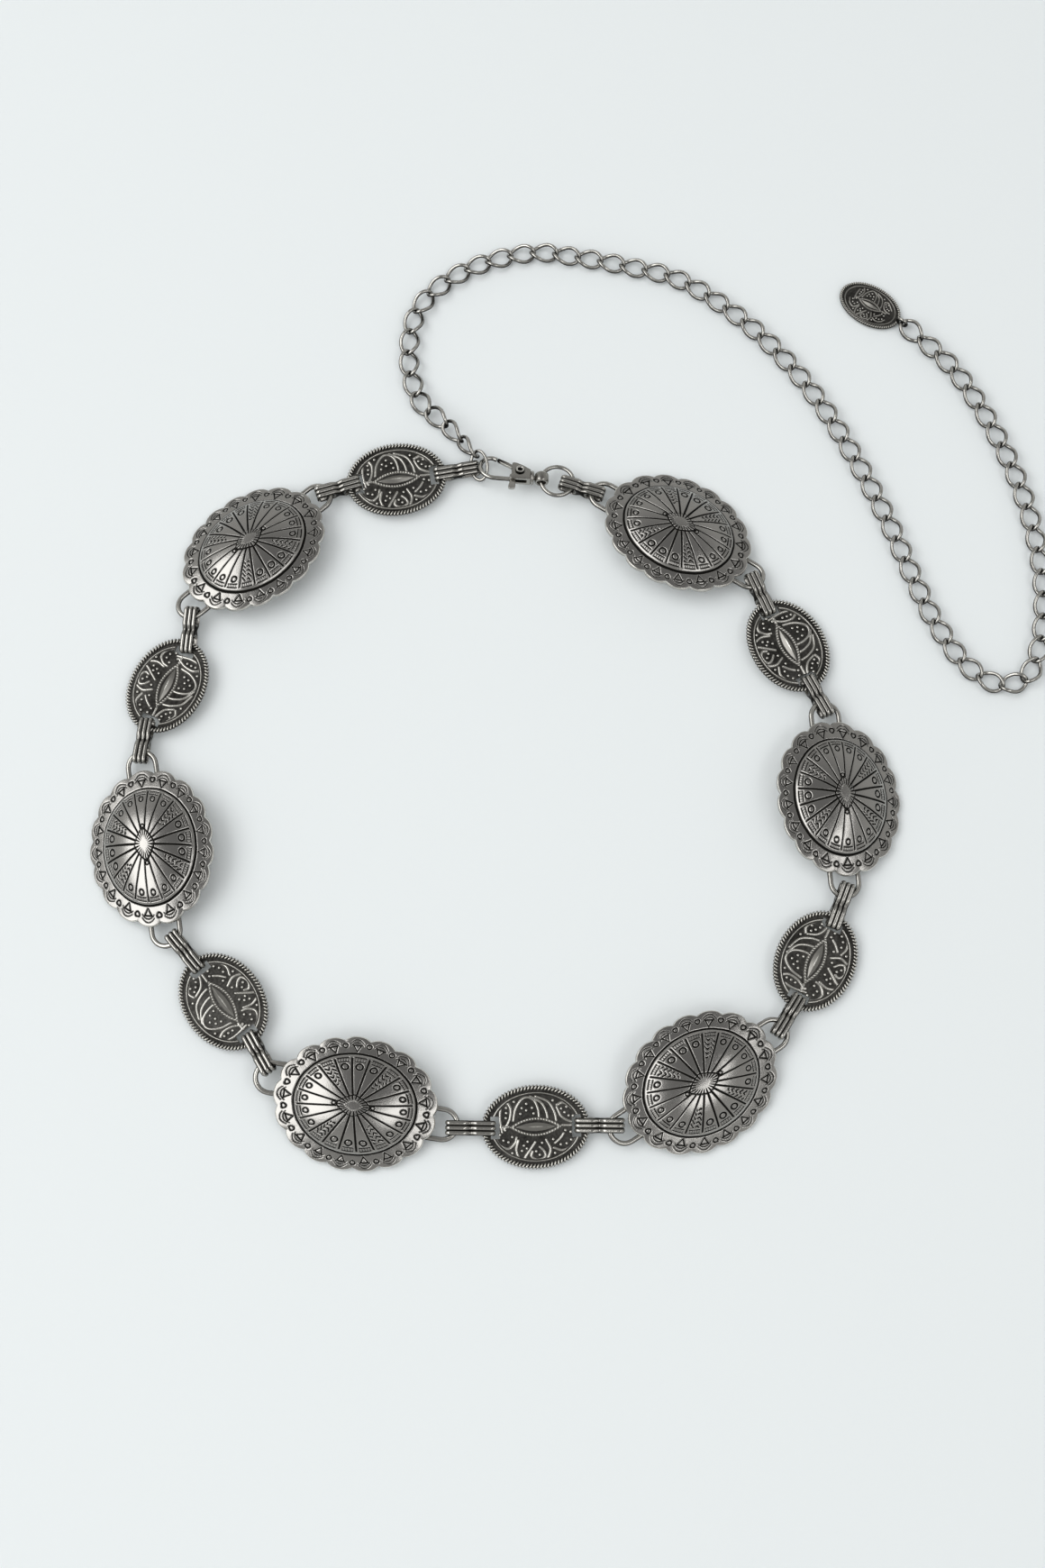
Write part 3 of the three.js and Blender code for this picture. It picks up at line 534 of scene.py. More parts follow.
def wires(name, paths, radius, sides):
    """Plated wires along lists of points; a path that ends where it starts is closed"""
    corners, edges = [], []
    for path in paths:
        start = len(corners)
        closed = (Vector(path[0]) - Vector(path[-1])).length < 1e-6
        run = path[:-1] if closed else path
        corners.extend(run)
        edges.extend((start + k, start + k + 1) for k in range(len(run) - 1))
        if closed:
            edges.append((start + len(run) - 1, start))
    mesh = bpy.data.meshes.new(name)
    mesh.from_pydata((np.array(corners, float) * MM).tolist(), edges, [])
    piece = object_of(name, mesh, smooth=False)
    tree = bpy.data.node_groups["Wire along a path"]
    given = {"Wire_Radius": radius * MM, "Sides": sides, "Material": silver_of("wire")}
    # The wire's flanks and underside get painted shade and its top a painted highlight with some wear
    return painted_light_and_wear_by_facing(run_tree(piece, tree, **given))


def set_out(name, shape, places, material, reaches=None):
    """Copies of a shape at places, each as large as its reach says, by Geometry Nodes"""
    sample = solid(name + "_sample", shape, tidy=True)
    marks = bpy.data.meshes.new(name)
    marks.from_pydata([tuple(place.translation * MM) for place in places], [], [])
    turns = [place.to_euler() for place in places]
    for label, rows in (("turn", turns), ("reach", reaches or [(1, 1, 1)] * len(places))):
        values = [value for row in rows for value in row]
        marks.attributes.new(label, "FLOAT_VECTOR", "POINT").data.foreach_set("vector", values)
    piece = object_of(name, marks, smooth=False)
    run_tree(piece, bpy.data.node_groups["Pieces in a row"], Piece=sample, Material=material)
    bpy.data.objects.remove(sample)
    return piece


# Relief, in millimetres above the plain surface


def fade(value, low, high):
    """0 below low, 1 above high, smooth between"""
    t = np.clip((value - low) / (high - low), 0, 1)
    return t * t * (3 - 2 * t)


def line(distance, width):
    """1 on a line's middle, 0 past half its width, with a round section"""
    return 1 - np.clip(np.abs(distance) / (width / 2), 0, 1) ** 2


def hatching(across, depth, pitch):
    """Soft ticks side by side, up to twice the depth"""
    return depth + depth * np.cos(2 * math.pi * across / pitch)


def to_path(x, y, points):
    """Distance from each place to a smooth open path through points"""
    steps = 8
    points = [Vector(p) for p in points]
    ends = [points[0] * 2 - points[1], *points, points[-1] * 2 - points[-2]]
    run = []
    for k in range(1, len(ends) - 2):
        run.extend(spline(ends[k - 1 : k + 3], steps))
    run.append(points[-1])
    best = np.full(np.shape(x), np.inf)
    for start, end in zip(run[:-1], run[1:]):
        dx, dy = end.x - start.x, end.y - start.y
        share = np.clip(((x - start.x) * dx + (y - start.y) * dy) / (dx * dx + dy * dy), 0, 1)
        best = np.minimum(best, np.hypot(x - start.x - share * dx, y - start.y - share * dy))
    return best


def oval_points(half_length, half_width, count):
    """Points, and their shares of the way round, evenly spaced round an oval from its +X end"""
    fine = np.linspace(0, 2 * math.pi, 4001)
    x, y = half_length * np.cos(fine), half_width * np.sin(fine)
    reach = np.concatenate([[0], np.cumsum(np.hypot(np.diff(x), np.diff(y)))])
    share = np.arange(count) / count
    angle = np.interp(share * reach[-1], reach, fine)
    return half_length * np.cos(angle), half_width * np.sin(angle), share


# Concho


# The dome's edge as a share of the half sizes, the spacing of the notches along the edge, how many
# millimetres a whole share is on average, and the ticks round the lozenge
DOME_SHARE = 0.747
SCALLOP_PITCH = 9.4
FLANGE_REACH = 25.5
LOZENGE_TICKS = 22
SECTORS = 20
STAMPED_SECTORS = (3, 7, 13, 17)


def dome_height(share):
    """The dome and its flange, by share of the half sizes"""
    foot, rise, fullness = 3.35, 4.75, 0.82
    flange_top, flange_fall = 2.75, 1.25
    dome = foot + rise * np.clip(1 - (share / (DOME_SHARE - 0.005)) ** 2, 0, 1) ** fullness
    flange = flange_top - flange_fall * np.clip((share - DOME_SHARE - 0.02) / (0.98 - DOME_SHARE), 0, 1)
    return flange + (dome - flange) * (1 - fade(share, DOME_SHARE - 0.014, DOME_SHARE + 0.018))


def lozenge_reach(x, y):
    """1 on the central lozenge's outline, less inside it"""
    power = 1.3
    along, across = np.abs(x / CONCHO["lozenge_length"]), np.abs(y / CONCHO["lozenge_width"])
    return (along**power + across**power) ** (1 / power)


def rim_ornament(share, way, depth):
    """On each scallop an inward triangle under a hatched crescent, and a small ring at each notch"""
    phase = way * CONCHO["scallops"]
    across = (phase - np.floor(phase) - 0.5) * SCALLOP_PITCH
    inset = (1 - share) * FLANGE_REACH
    base, apex, half, side_width, base_width = 3.35, 5.75, 1.55, 0.62, 0.56
    slope = half / (apex - base)
    side = (np.abs(across) - (apex - inset) * slope) / math.hypot(1, slope)
    cut = line(side, side_width) * (inset > base - 0.2) * (inset < apex + 0.25)
    cut = np.maximum(cut, line(inset - base, base_width) * (np.abs(across) < half + 0.2))
    middle, bend, half_span, arc_offset, arc_width = 1.8, 0.2, 2.5, 0.55, 0.42
    crescent = np.abs(inset - (middle + bend * across**2))
    ticks = hatching(across, 0.14, 0.7)
    arcs = np.maximum(line(crescent - arc_offset, arc_width), ticks * (crescent < 0.5))
    cut = np.maximum(cut, arcs * (np.abs(across) < half_span))
    ring_inset, ring_radius, ring_width = 3.1, 0.92, 0.7
    beside = (phase - np.round(phase)) * SCALLOP_PITCH
    ring = np.hypot(beside, inset - ring_inset) - ring_radius
    cut = np.maximum(cut, line(ring, ring_width))
    return -depth * cut


def sector_ornament(x, y, share, depth):
    """Sectors with a ring under a hatched dash, or with stamped rows on the diagonals"""
    angle = np.arctan2(y / CONCHO["half_width"], x / CONCHO["half_length"])
    turn = angle / (2 * math.pi) * SECTORS
    offset = turn - np.round(turn)
    radius = np.hypot(x, y)
    edge = (0.5 - np.abs(offset)) * 2 * math.pi / SECTORS * radius
    across = offset * 2 * math.pi / SECTORS * radius
    gap = (DOME_SHARE - share) * radius / np.maximum(share, 1e-6)
    spread = fade(lozenge_reach(x, y), 0.98, 1.1) * fade(gap, 1.0, 1.4)
    side_width = 0.75
    cut = line(edge, side_width) * spread
    stamped = np.isin(np.mod(np.round(turn), SECTORS), STAMPED_SECTORS)
    ring_gap, ring_radius, ring_width = 4.15, 0.95, 0.66
    ring = np.hypot(across, gap - ring_gap) - ring_radius
    cut = np.maximum(cut, line(ring, ring_width) * ~stamped)
    half = math.pi / SECTORS * radius
    dash_gap, dash_reach, border_offset, border_width = 1.85, 0.7, 0.6, 0.4
    dash = gap - dash_gap
    within = np.abs(across) < half * dash_reach
    cut = np.maximum(cut, hatching(across, 0.18, 0.75) * (np.abs(dash) < 0.5) * within)
    cut = np.maximum(cut, line(np.abs(dash) - border_offset, border_width) * within)
    row_pitch, row_width, wave_height, wave_length = 1.5, 0.8, 0.3, 2.1
    wave = radius / row_pitch + wave_height * np.sin(2 * math.pi * across / wave_length)
    rows = line((wave - np.round(wave)) * row_pitch, row_width)
    breaks = 0.15 + 0.85 * fade(np.abs(np.sin(math.pi * across / wave_length + 0.4)), 0.1, 0.45)
    inner = fade(share, 0.33, 0.35) * fade(gap, 2.9, 3.3) * (np.abs(across) < half - 0.5)
    cut = np.maximum(cut, rows * breaks * inner * stamped)
    return -depth * cut


def lozenge_ornament(x, y, depth):
    """A flat lozenge in a border of ticks, with a small ring at each of its long tips"""
    rise, evenness, tip_at, ring_radius = 0.4, 1.55, 6.7, 0.62
    reach = lozenge_reach(x, y)
    raised = rise * (1 - fade(reach, 0.92, 1.02))
    ticks = line(np.mod(np.arctan2(y * evenness, x) / (2 * math.pi) * LOZENGE_TICKS, 1) - 0.5, 0.8)
    border = fade(reach, 0.53, 0.58) * (1 - fade(reach, 0.88, 0.93))
    outline = line(reach - 0.97, 0.13)
    tip = np.hypot(np.abs(x) - tip_at, y)
    ring = line(tip - ring_radius, 0.5)
    cut = np.maximum(border * (1 - 1.4 * ticks), outline * (tip > 0.8))
    return raised, -depth * np.maximum(cut, ring)


def level_ring(px, py, scale, height):
    """An outline's points, drawn in to a scale, at one height"""
    return np.stack([px * scale, py * scale, np.full(len(px), float(height))], axis=1)


def concho_shape(sizes):
    """The dome with its scalloped flange, edge and hollow back"""
    length, width = CONCHO["half_length"], CONCHO["half_width"]
    around = CONCHO["scallops"] * sizes.concho_steps
    px, py, way = oval_points(length, width, around)
    reach = np.hypot(px, py)
    phase = way * CONCHO["scallops"]
    notch = (2 * np.abs(phase - np.floor(phase) - 0.5)) ** 2.4 * sizes.scallop_depth / reach
    middle = [np.linspace(0, 0.11, 6, endpoint=False), np.linspace(0.11, 0.36, 34, endpoint=False)]
    top = np.concatenate([*middle, np.linspace(0.36, 0.985, 92)])
    depth = sizes.engraving
    rings, relief = [], []
    for share in top:
        scale = share * (1 - notch * share**9)
        x, y = px * scale, py * scale
        share_here = np.full(around, share)
        plain = dome_height(share_here)
        groove = -0.34 * line((share - DOME_SHARE) * FLANGE_REACH, 0.8) * np.ones(around)
        ornament = rim_ornament(share_here, way, depth) * (share > 0.77) * (share < 0.985)
        if share < 0.73:
            ornament = ornament + sector_ornament(x, y, share_here, depth)
        raised = 0
        if share < 0.33:
            raised, lozenge = lozenge_ornament(x, y, depth)
            ornament = ornament + lozenge
        rings.append(np.stack([x, y, plain + raised + groove + ornament], axis=1))
        ground = 0.2 * fade(share_here, 0.9, 1.0)
        relief.append(np.clip((groove + ornament) / depth, -1, 1) + ground)
    edge = CONCHO["edge"]
    rounding = [(0.22, edge - 0.02, 0.7), (0.06, edge - 0.22, 0.6), (0, edge - 0.5, 0.2)]
    for inset, height, value in (*rounding, (0, 0.4, 0), (0.1, 0.12, 0), (0.4, 0, 0)):
        rings.append(level_ring(px, py, 1 - notch - inset / reach, height))
        relief.append(np.full(around, value))
    for share in (0.9, 0.85, 0.8, 0.74, 0.65, 0.5, 0.34, 0.18, 0):
        height = max(float(dome_height(np.array([share]))[0]) - CONCHO["wall"], 0) if share < 0.88 else 0
        rings.append(level_ring(px, py, share, height))
        relief.append(np.full(around, -0.12))
    return wheel(rings, relief)


def loop_paths(key):
    """The two soldered loops' middle lines, in the concho's frame"""
    row = CONCHO_PLACES[key]
    place = concho_place(key)
    paths = []
    for side, shift in ((1, row["notch_shift"]), (-1, row["lobe_shift"])):
        radius = LOOP["arc"]
        angles = np.linspace(-math.pi / 2, math.pi / 2, 21)
        arc = [(LOOP["centre"] + radius * math.cos(a), radius * math.sin(a)) for a in angles]
        run = [(LOOP["leg_start"], -radius), *arc, (LOOP["leg_start"], radius)]
        paths.append([place @ Vector((side * x, side * y + shift, LOOP["height"])) for x, y in run])
    return paths


# Medallion and pendant

# Raised ribs of the medallion's field: each a path in millimetres from its middle, the fan of ribs upwards
FIELD_RIBS = [
    [(-11.8, 6.4), (-12.1, 3), (-11.5, -1.6)],
    [(-9.5, 8.5), (-8.4, 6.1), (-8.9, 2.6), (-10.7, -0.6)],
    [(-7.6, 2.2), (-6.8, 6), (-4.9, 9), (-2.8, 10), (-0.4, 8.9), (0.9, 6), (1.2, 2.6)],
    [(-1.6, 10.2), (2.1, 8), (3.7, 4.9), (4.1, 2.3)],
    [(0.3, 10.2), (4.4, 8.3), (6.4, 4.9), (7, 2)],
    [(7.4, 7.2), (9.5, 7.9), (12, 6.3), (14.2, 4.4)],
    [(7.3, 6.4), (8.8, 3.3), (11.6, 1.6), (14, 1.5)],
    [(9, 0.3), (12, 0.3)],
    [(-12, 0.2), (-9.2, 0.2)],
    [(-14.2, -2.7), (-12.5, -5.8), (-9.5, -7.1), (-7.3, -5.4), (-6.6, -3.4)],
    [(-6, -4.4), (-6.8, -7.4), (-6.1, -10.2)],
    [(-0.3, -5.1), (-1.8, -7.2), (-3.4, -9.4), (-4.1, -10.6)],
    [(-1.3, -8.2), (-1.7, -9.8), (0.3, -11), (2.9, -10), (2.6, -8.2), (1.2, -6.8)],
    [(3.4, -4.4), (4.8, -7.5), (4, -10.4)],
    [(6, -7.2), (8.8, -8), (11.6, -7), (13.6, -4.2)],
    [(6.4, -5.6), (8.2, -4), (9.4, -2.4)],
]
# How far the rope border stands out past its plate
ROPE_REACH = 0.4
FIELD_DOTS = [
    (-3, 7.8), (-4.6, 6.4), (-1.1, 6.4), (-5.1, 4.5), (-0.6, 4.5), (-3.1, 5.6), (-9.9, 6.6), (-9.9, 4.9),
    (-10.1, 3.2), (-7.2, 8.6), (6, 8.7), (8.8, 5.9), (9.9, 4.6), (11.3, 3.5), (12.7, 3.4), (10.6, 6.4),
    (-10.4, -0.9), (-12.2, -2.4), (-11.1, -4.3), (-9.4, -4.9), (-8.1, -3.2), (-8.2, -8.6), (-2.9, -4.9),
    (-4.2, -6.2), (-4.9, -7.9), (-3.2, -7.2), (2, -5.4), (-0.1, -8.2), (1.1, -9.4), (6.3, -8.9), (5.8, -4.3),
    (10, -1.4), (11.8, -2), (10.3, -5.8), (11.9, -4.6), (8.3, -6.1),
]


def marquise_edge(x, y, length, width):
    """Distance outwards from a pointed oval's outline"""
    rise = width * (1 - (x / length) ** 2)
    slope = 2 * width * x / length**2
    return (np.abs(y) - rise) / np.sqrt(1 + slope**2)


def field_relief(x, y, scale):
    """The raised ornament of a medallion's field and how worn it is; scale is 1 on the medallion"""
    mx, my = x / scale, y / scale
    raised = np.zeros_like(x)
    bead_pitch, bead_height, rib_height, rib_width = 0.95, 0.5, 0.46, 0.9
    frame_edge = marquise_edge(mx, my, 8.95, 3.15)
    beads = 0.15 + 0.85 * np.abs(np.cos(math.pi * mx / bead_pitch))
    raised = np.maximum(raised, bead_height * np.sqrt(line(frame_edge + 0.42, 0.95)) * beads)
    bar_length, bar_width, bar_height = 7.1, 1.6, 1.05
    bar_edge = marquise_edge(mx, my, bar_length, bar_width)
    bar = bar_height * np.clip(-bar_edge / bar_width, 0, 1) * (np.abs(mx) < bar_length + 0.1)
    outside = frame_edge > 0.15
    for path in FIELD_RIBS:
        raised = np.maximum(raised, rib_height * np.sqrt(line(to_path(mx, my, path), rib_width)) * outside)
    worn = np.maximum(raised, 0.24 * fade(bar, 0.05, 0.2) + 0.2 * fade(bar, 0.8, 1.0))
    return np.maximum(raised, bar) * scale**0.5, worn * scale**0.5


def oval_plate(length, width, heights, border, scale, around, rows):
    """A flat oval plate with a seat for its rope border, an inner ring line and a field of ornament"""
    px, py, _ = oval_points(length, width, around)
    reach = np.hypot(px, py)
    seat, field, edge = heights["seat"], heights["field"], heights["edge"]
    crown_rise, line_height, line_width = 0.22 * scale, 0.5 * scale, 0.62 * scale
    rings, relief = [], []
    for share in np.linspace(0, 1, rows) ** 0.9:
        inset = (1 - share) * min(length, width)
        x, y = px * share, py * share
        crown = crown_rise * (1 - share**2)
        on_field = fade(inset, border + 0.15 * scale, border + 0.45 * scale)
        ring_line = line_height * line(inset - border - line_width, line_width)
        inner = fade(inset, border + 1.1 * scale, border + 1.3 * scale)
        ornament, worn = field_relief(x, y, scale)
        height = seat + (field + crown - seat) * on_field + ring_line + ornament * inner
        if inset < 0.25:
            height = edge + (seat - edge) * math.sqrt(max(inset, 0) / 0.25)
        rings.append(np.stack([x, y, height * np.ones(around)], axis=1))
        high = np.clip((ring_line + worn * inner) / 0.42, 0, 1.1) * 1.25 - 0.62
        relief.append(high * np.ones(around))
    under = [(1 - inset / reach, height) for inset, height in ((0, edge * 0.6), (0.12, 0.14), (0.5, 0))]
    for share, height in (*under, (0.6, 0), (0, 0)):
        rings.append(level_ring(px, py, share, height))
        relief.append(np.full(around, -0.1))
    return wheel(rings, relief)


def bead_shape():
    """A round bead of radius 1, worn on top and dark at its foot"""
    sides, rows = 10, 6
    profile = [(math.sin(math.pi * k / rows), -math.cos(math.pi * k / rows)) for k in range(rows + 1)]
    shape = lathe(profile, sides)
    shape.relief = np.clip(shape.corners[:, 2] * 2.4 - 1.1, -0.95, 0.95)
    return shape


def rope_marks(length, width, slant, inset, height, pitch, thickness):
    """Places and sizes of the slanting beads of a rope border"""
    around = 2 * math.pi * math.sqrt(((length - inset) ** 2 + (width - inset) ** 2) / 2)
    count = round(around / pitch)
    x, y, _ = oval_points(length - inset, width - inset, count)
    places = []
    for k in range(count):
        heading = math.degrees(math.atan2(y[(k + 1) % count] - y[k - 1], x[(k + 1) % count] - x[k - 1]))
        places.append(Matrix.Translation((x[k], y[k], height)) @ turn_z(heading + slant))
    reach = (thickness * 1.4, pitch * 0.34, thickness * 0.95)
    return places, [reach] * count


def dot_marks(scale, height, radius):
    """Places and sizes of the field's raised dots"""
    places = [Matrix.Translation((x * scale, y * scale, height)) for x, y in FIELD_DOTS]
    return places, [(radius, radius, radius * 0.9)] * len(places)


# Connector


def connector_shape(sizes):
    """Three round ribs side by side, rounded over at each end and pinched at the waist, as a solid that
    connector_part cuts into an eye at each end
    """
    end, top = CONNECTOR["length"] / 2, CONNECTOR["height"] / 2
    bend, waist, crest_share = 1.75, 2.1, 0.84
    turns = [math.pi / 2 * (1 - k / 8) for k in range(9)]
    side = [(end - bend + bend * math.cos(a), top - bend + bend * math.sin(a)) for a in turns]
    spots = np.linspace(0, end - bend, 14)[:-1]
    run = [(x, top - sizes.waist_pinch * (1 - min(abs(x) / waist, 1)) ** 1.3) for x in spots]
    quarter = run + side
    upper = quarter + [(x, -z) for x, z in reversed(quarter)]
    outline = upper[:-1] + [(-x, z) for x, z in reversed(upper)][:-1]
    loop = [Vector(p) for p in outline]
    count = len(loop)
    rings, relief = [], []
    lanes = 36
    for j in range(lanes + 1):
        y = CONNECTOR["width"] * (j / lanes - 0.5)
        lane = (3 * j / lanes) % 1 if j < lanes else 0
        crest = math.sqrt(max(1 - ((2 * lane - 1) / crest_share) ** 2, 0))
        sink = sizes.rib_depth * (1 - crest)
        ring = []
        for k in range(count):
            along = (loop[(k + 1) % count] - loop[k - 1]).normalized()
            out = Vector((-along.y, along.x))
            if out.dot(loop[k]) < 0:
                out = -out
            spot = loop[k] - out * sink
            ring.append((spot.x, y, spot.y))
        rings.append(ring)
        relief.append([crest * 1.7 - 1.2 - 0.6 * (1 - min(abs(p.x) / 1.8, 1)) for p in loop])
    return skin(rings, relief)


def connector_part(sizes):
    piece = solid("connector_sample", connector_shape(sizes), tidy=True)
    end, sheet, eye = CONNECTOR["length"] / 2, CONNECTOR["sheet"], CONNECTOR["eye"]
    size = (eye, 2 * CONNECTOR["width"], CONNECTOR["height"] - 2 * sheet)
    cutters = []
    for side in (-1, 1):
        middle = (side * (end - sheet - eye / 2), 0, 0)
        cutters.append(rounded(solid("eye", box_shape(size, middle), smooth=False), width=1.1))
    return cut_by(piece, cutters)


def shape_of(piece):
    """A piece's mesh as a shape in millimetres, and the piece removed"""
    mesh = piece.data
    corners = np.array([v.co for v in mesh.vertices]) / MM
    faces = [tuple(face.vertices) for face in mesh.polygons]
    relief = np.zeros(len(corners))
    mesh.attributes["relief"].data.foreach_get("value", relief)
    bpy.data.objects.remove(piece)
    return Shape(corners, faces, relief)


# Chain


def link_shape(steps):
    """A curb link: an oval of wire twisted along its length"""
    sides = 10
    rings = []
    twist = math.radians(CHAIN["twist"])

    def middle(angle):
        along, across = math.cos(angle), CHAIN["half_width"] * math.sin(angle)
        roll = twist * along
        return Vector((CHAIN["half_length"] * along, across * math.cos(roll), across * math.sin(roll)))

    for i in range(steps + 1):
        angle = 2 * math.pi * i / steps
        centre = middle(angle)
        tangent = (middle(angle + 0.01) - middle(angle - 0.01)).normalized()
        inward = -centre - tangent * (-centre).dot(tangent)
        inward.normalize()
        side = tangent.cross(inward)
        turns = [2 * math.pi * j / sides for j in range(sides)]
        rings.append([centre + CHAIN["wire"] * (inward * math.cos(t) + side * math.sin(t)) for t in turns])
    return skin(np.array(rings), ends=False)


# Clasp


def hook_body():
    """The hook's flat body, cut through edgeways for the gate"""
    neck = CLASP["neck_x"]
    outline = [
        (-3.4, -3.75), (-1, -4), (neck, -4), (neck, -4), (neck, 0.7), (neck, 0.7), (1.2, 2.5), (-1, 3.5),
        (-2.5, 3.7), (-3, 2.8), (-3, 0.4), (-3.1, -1.6), (-3.7, -2.55),
    ]
    outline = smooth_outline(outline, steps=5)
    body = solid("hook_body", plate_shape(outline, CLASP["thickness"]), tidy=True)
    gap = box_shape(size=(6.4, 12, CLASP["slot"]), middle=(-0.6, 0, 0))
    slot = solid("hook_slot", gap, smooth=False)
    return rounded(cut_by(body, [slot]), width=0.38, segments=3, angle=50)


def bow_path():
    """The spine and the bow, one round wire from the body to the gate's tip"""
    points = [
        (-1.6, -3.1), (-4.6, -3.15), (-7.6, -3.15), (-10.6, -2.9), (-13.2, -1.4), (-14.5, 1.2), (-14.1, 4),
        (-12.3, 6), (-10.2, 6.4), (-8.7, 5.8),
    ]
    spots = route_curve([(x, y, 0) for x, y in points], samples=8)
    return [clasp_place() @ Vector(spot) for spot in spots]


def collar_shape():
    """The round collar that the stem turns in"""
    half, radius, bevel = CLASP["collar_length"] / 2, CLASP["collar"], 0.3
    rim = [(radius - bevel, -half), (radius, bevel - half), (radius, half - bevel), (radius - bevel, half)]
    place = Matrix.Translation((CLASP["neck_x"] + half, CLASP["neck_y"], 0)) @ turn_y(90)
    return lathe([(0, -half), *rim, (0, half)], sides=40).placed(place)


def gate_outline():
    """The gate's arm, its eye round the rivet and its thumb piece"""
    outline = [
        (1.3, -1.1), (1.7, 0.4), (0.8, 1.7), (-2.2, 3.2), (-5, 4.75), (-7.8, 6.05), (-8.35, 5.6),
        (-8.2, 4.85), (-5.4, 3.15), (-2.9, 1.7), (-1.9, 0), (-2.5, -2), (-3.4, -4), (-4, -6.6), (-3.9, -7.6),
        (-3.2, -7.95), (-2.3, -7.9), (-1.7, -7.5), (-1.4, -6.6), (-1.5, -3.6), (-0.6, -1.7),
    ]
    return smooth_outline(outline, steps=4)


def gate_shape():
    """The gate with rounded edges, dark where its arm meets the bow and the body"""
    blank = solid("hook_gate", plate_shape(gate_outline(), CLASP["gate"]), tidy=True)
    gate = shape_of(rounded(blank, width=0.5, segments=4, angle=50))
    tip, hinge = gate.corners[:, 0] + 8.3, -2.6 - gate.corners[:, 0]
    arm = gate.corners[:, 1] > 0
    gate.relief = 0.3 - 1.3 * arm * np.maximum(1 - fade(tip, 0.5, 0.9), 1 - fade(hinge, 0.2, 0.6))
    return gate


def rivet_shape():
    """The rivet, with a rolled rim and a dark hole in each head"""
    foot = CLASP["thickness"] / 2 + CLASP["clearance"]
    crown = foot + CLASP["head_height"]
    radius, head = CLASP["rivet"], CLASP["head"]
    half = [
        (0, crown - 0.42), (0.72, crown - 0.42), (0.86, crown - 0.3), (0.98, crown - 0.06), (1.2, crown),
        (1.5, crown), (head - 0.08, crown - 0.14), (head, crown - 0.3), (head, foot), (radius, foot),
    ]
    profile = [(r, -z) for r, z in half] + [(r, z) for r, z in reversed(half)]
    shape = lathe(profile, sides=40)
    out = np.hypot(shape.corners[:, 0], shape.corners[:, 1])
    shape.relief = np.where((out > 0.9) & (out < head - 0.2), 0.6, -1.0)
    return shape


def swivel_shape():
    """A knuckle bored for the ring, and the stem that turns in the collar"""
    half, bore, outer = CLASP["knuckle_width"] / 2, CLASP["bore"], CLASP["knuckle"]
    loop = [
        (bore + 0.35, -half), (outer - 0.55, -half), (outer - 0.16, -half + 0.35), (outer, -half + 0.9),
        (outer, half - 0.9), (outer - 0.16, half - 0.35), (outer - 0.55, half), (bore + 0.35, half),
        (bore + 0.08, half - 0.25), (bore, half - 0.7), (bore, -half + 0.7), (bore + 0.08, -half + 0.25),
    ]
    across = Matrix.Translation((KNUCKLE_X, 0, 0)) @ turn_x(90)
    knuckle = skin(turned([*loop, loop[0]], sides=56), ends=False).placed(across)
    start, end = CLASP["neck_x"] - 0.7, KNUCKLE_X - bore - 0.4
    radius = CLASP["stem"]
    profile = [(0, start), (radius, start), (radius, end - 0.2), (0, end)]
    stem = lathe(profile, sides=24).placed(turn_y(90))
    return joined([knuckle, stem])


# Finishes


def linear(text):
    """An sRGB hex colour as linear values"""
    values = [int(text[k : k + 2], 16) / 255 for k in (1, 3, 5)]
    return [v / 12.92 if v <= 0.04045 else ((v + 0.055) / 1.055) ** 2.4 for v in values] + [1.0]


def opaque(colour):
    return [*colour[:3], 1.0]


def new_material(name):
    tree = cleared_tree(bpy.data.materials.new(name))
    shader = add_node(tree, "ShaderNodeBsdfPrincipled")
    add_node(tree, "ShaderNodeOutputMaterial", _0=shader.outputs[0])
    return tree, shader


def noise(tree, size, **more):
    """Noise in the object's own coordinates, with features about size millimetres across"""
    place = add_node(tree, "ShaderNodeTexCoord").outputs["Object"]
    return add_node(tree, "ShaderNodeTexNoise", Vector=place, Scale=1 / (size * MM), **more).outputs[0]


def varied(tree, level, change, amount):
    """A level moved up and down by a change from 0 to 1, by half the amount at most"""
    shift = add_node(
        tree, "ShaderNodeMath", {"operation": "MULTIPLY_ADD"}, _0=change, _1=amount, _2=-amount / 2
    )
    return add_node(tree, "ShaderNodeMath", {"operation": "ADD"}, _0=level, _1=shift.outputs[0]).outputs[0]


def ramp(tree, value, low, high):
    """0 below low, 1 above high, smooth between"""
    step = {"Value": value, "From_Min": low, "From_Max": high}
    return add_node(tree, "ShaderNodeMapRange", {"interpolation_type": "SMOOTHSTEP"}, **step).outputs[0]


def spread(tree, value, low, high):
    """A value from 0 to 1 laid out from low to high"""
    return add_node(tree, "ShaderNodeMapRange", Value=value, To_Min=low, To_Max=high).outputs[0]


def blend(tree, share, first, second, kind="RGBA"):
    """The first at share 0 and the second at share 1, as colours or as numbers"""
    socket, result = (6, 2) if kind == "RGBA" else (2, 0)
    ends = {f"_{socket}": first, f"_{socket + 1}": second}
    return add_node(tree, "ShaderNodeMix", {"data_type": kind}, _0=share, **ends).outputs[result]


# The relief at which metal starts to be rubbed bright, and at which it is wholly so
WORN_FROM, WORN_TO = 0.1, 0.8
# Sizes of the buffing's clouds and specks and of the casting's grain, in millimetres, and the grain's depth
CLOUDS, SPECKS, GRAIN, GRAIN_DEPTH = 9, 0.9, 0.45, 0.06
# Each finish's ground colour, the roughness of its ground and its shine, and the relief at which the oxide
# starts to be buffed away and at which it is gone
FINISHES = {
    "concho": ("ground", 0.22, 0.18, -0.6, -0.05),
    "medallion": ("dark_ground", 0.34, 0.22, -0.85, -0.05),
    # For the wire pieces the last two also set where the painted shade on flanks and undersides gives way to
    # the ground colour
    "wire": ("wire", 0.24, 0.18, -0.8, 0.0),
}


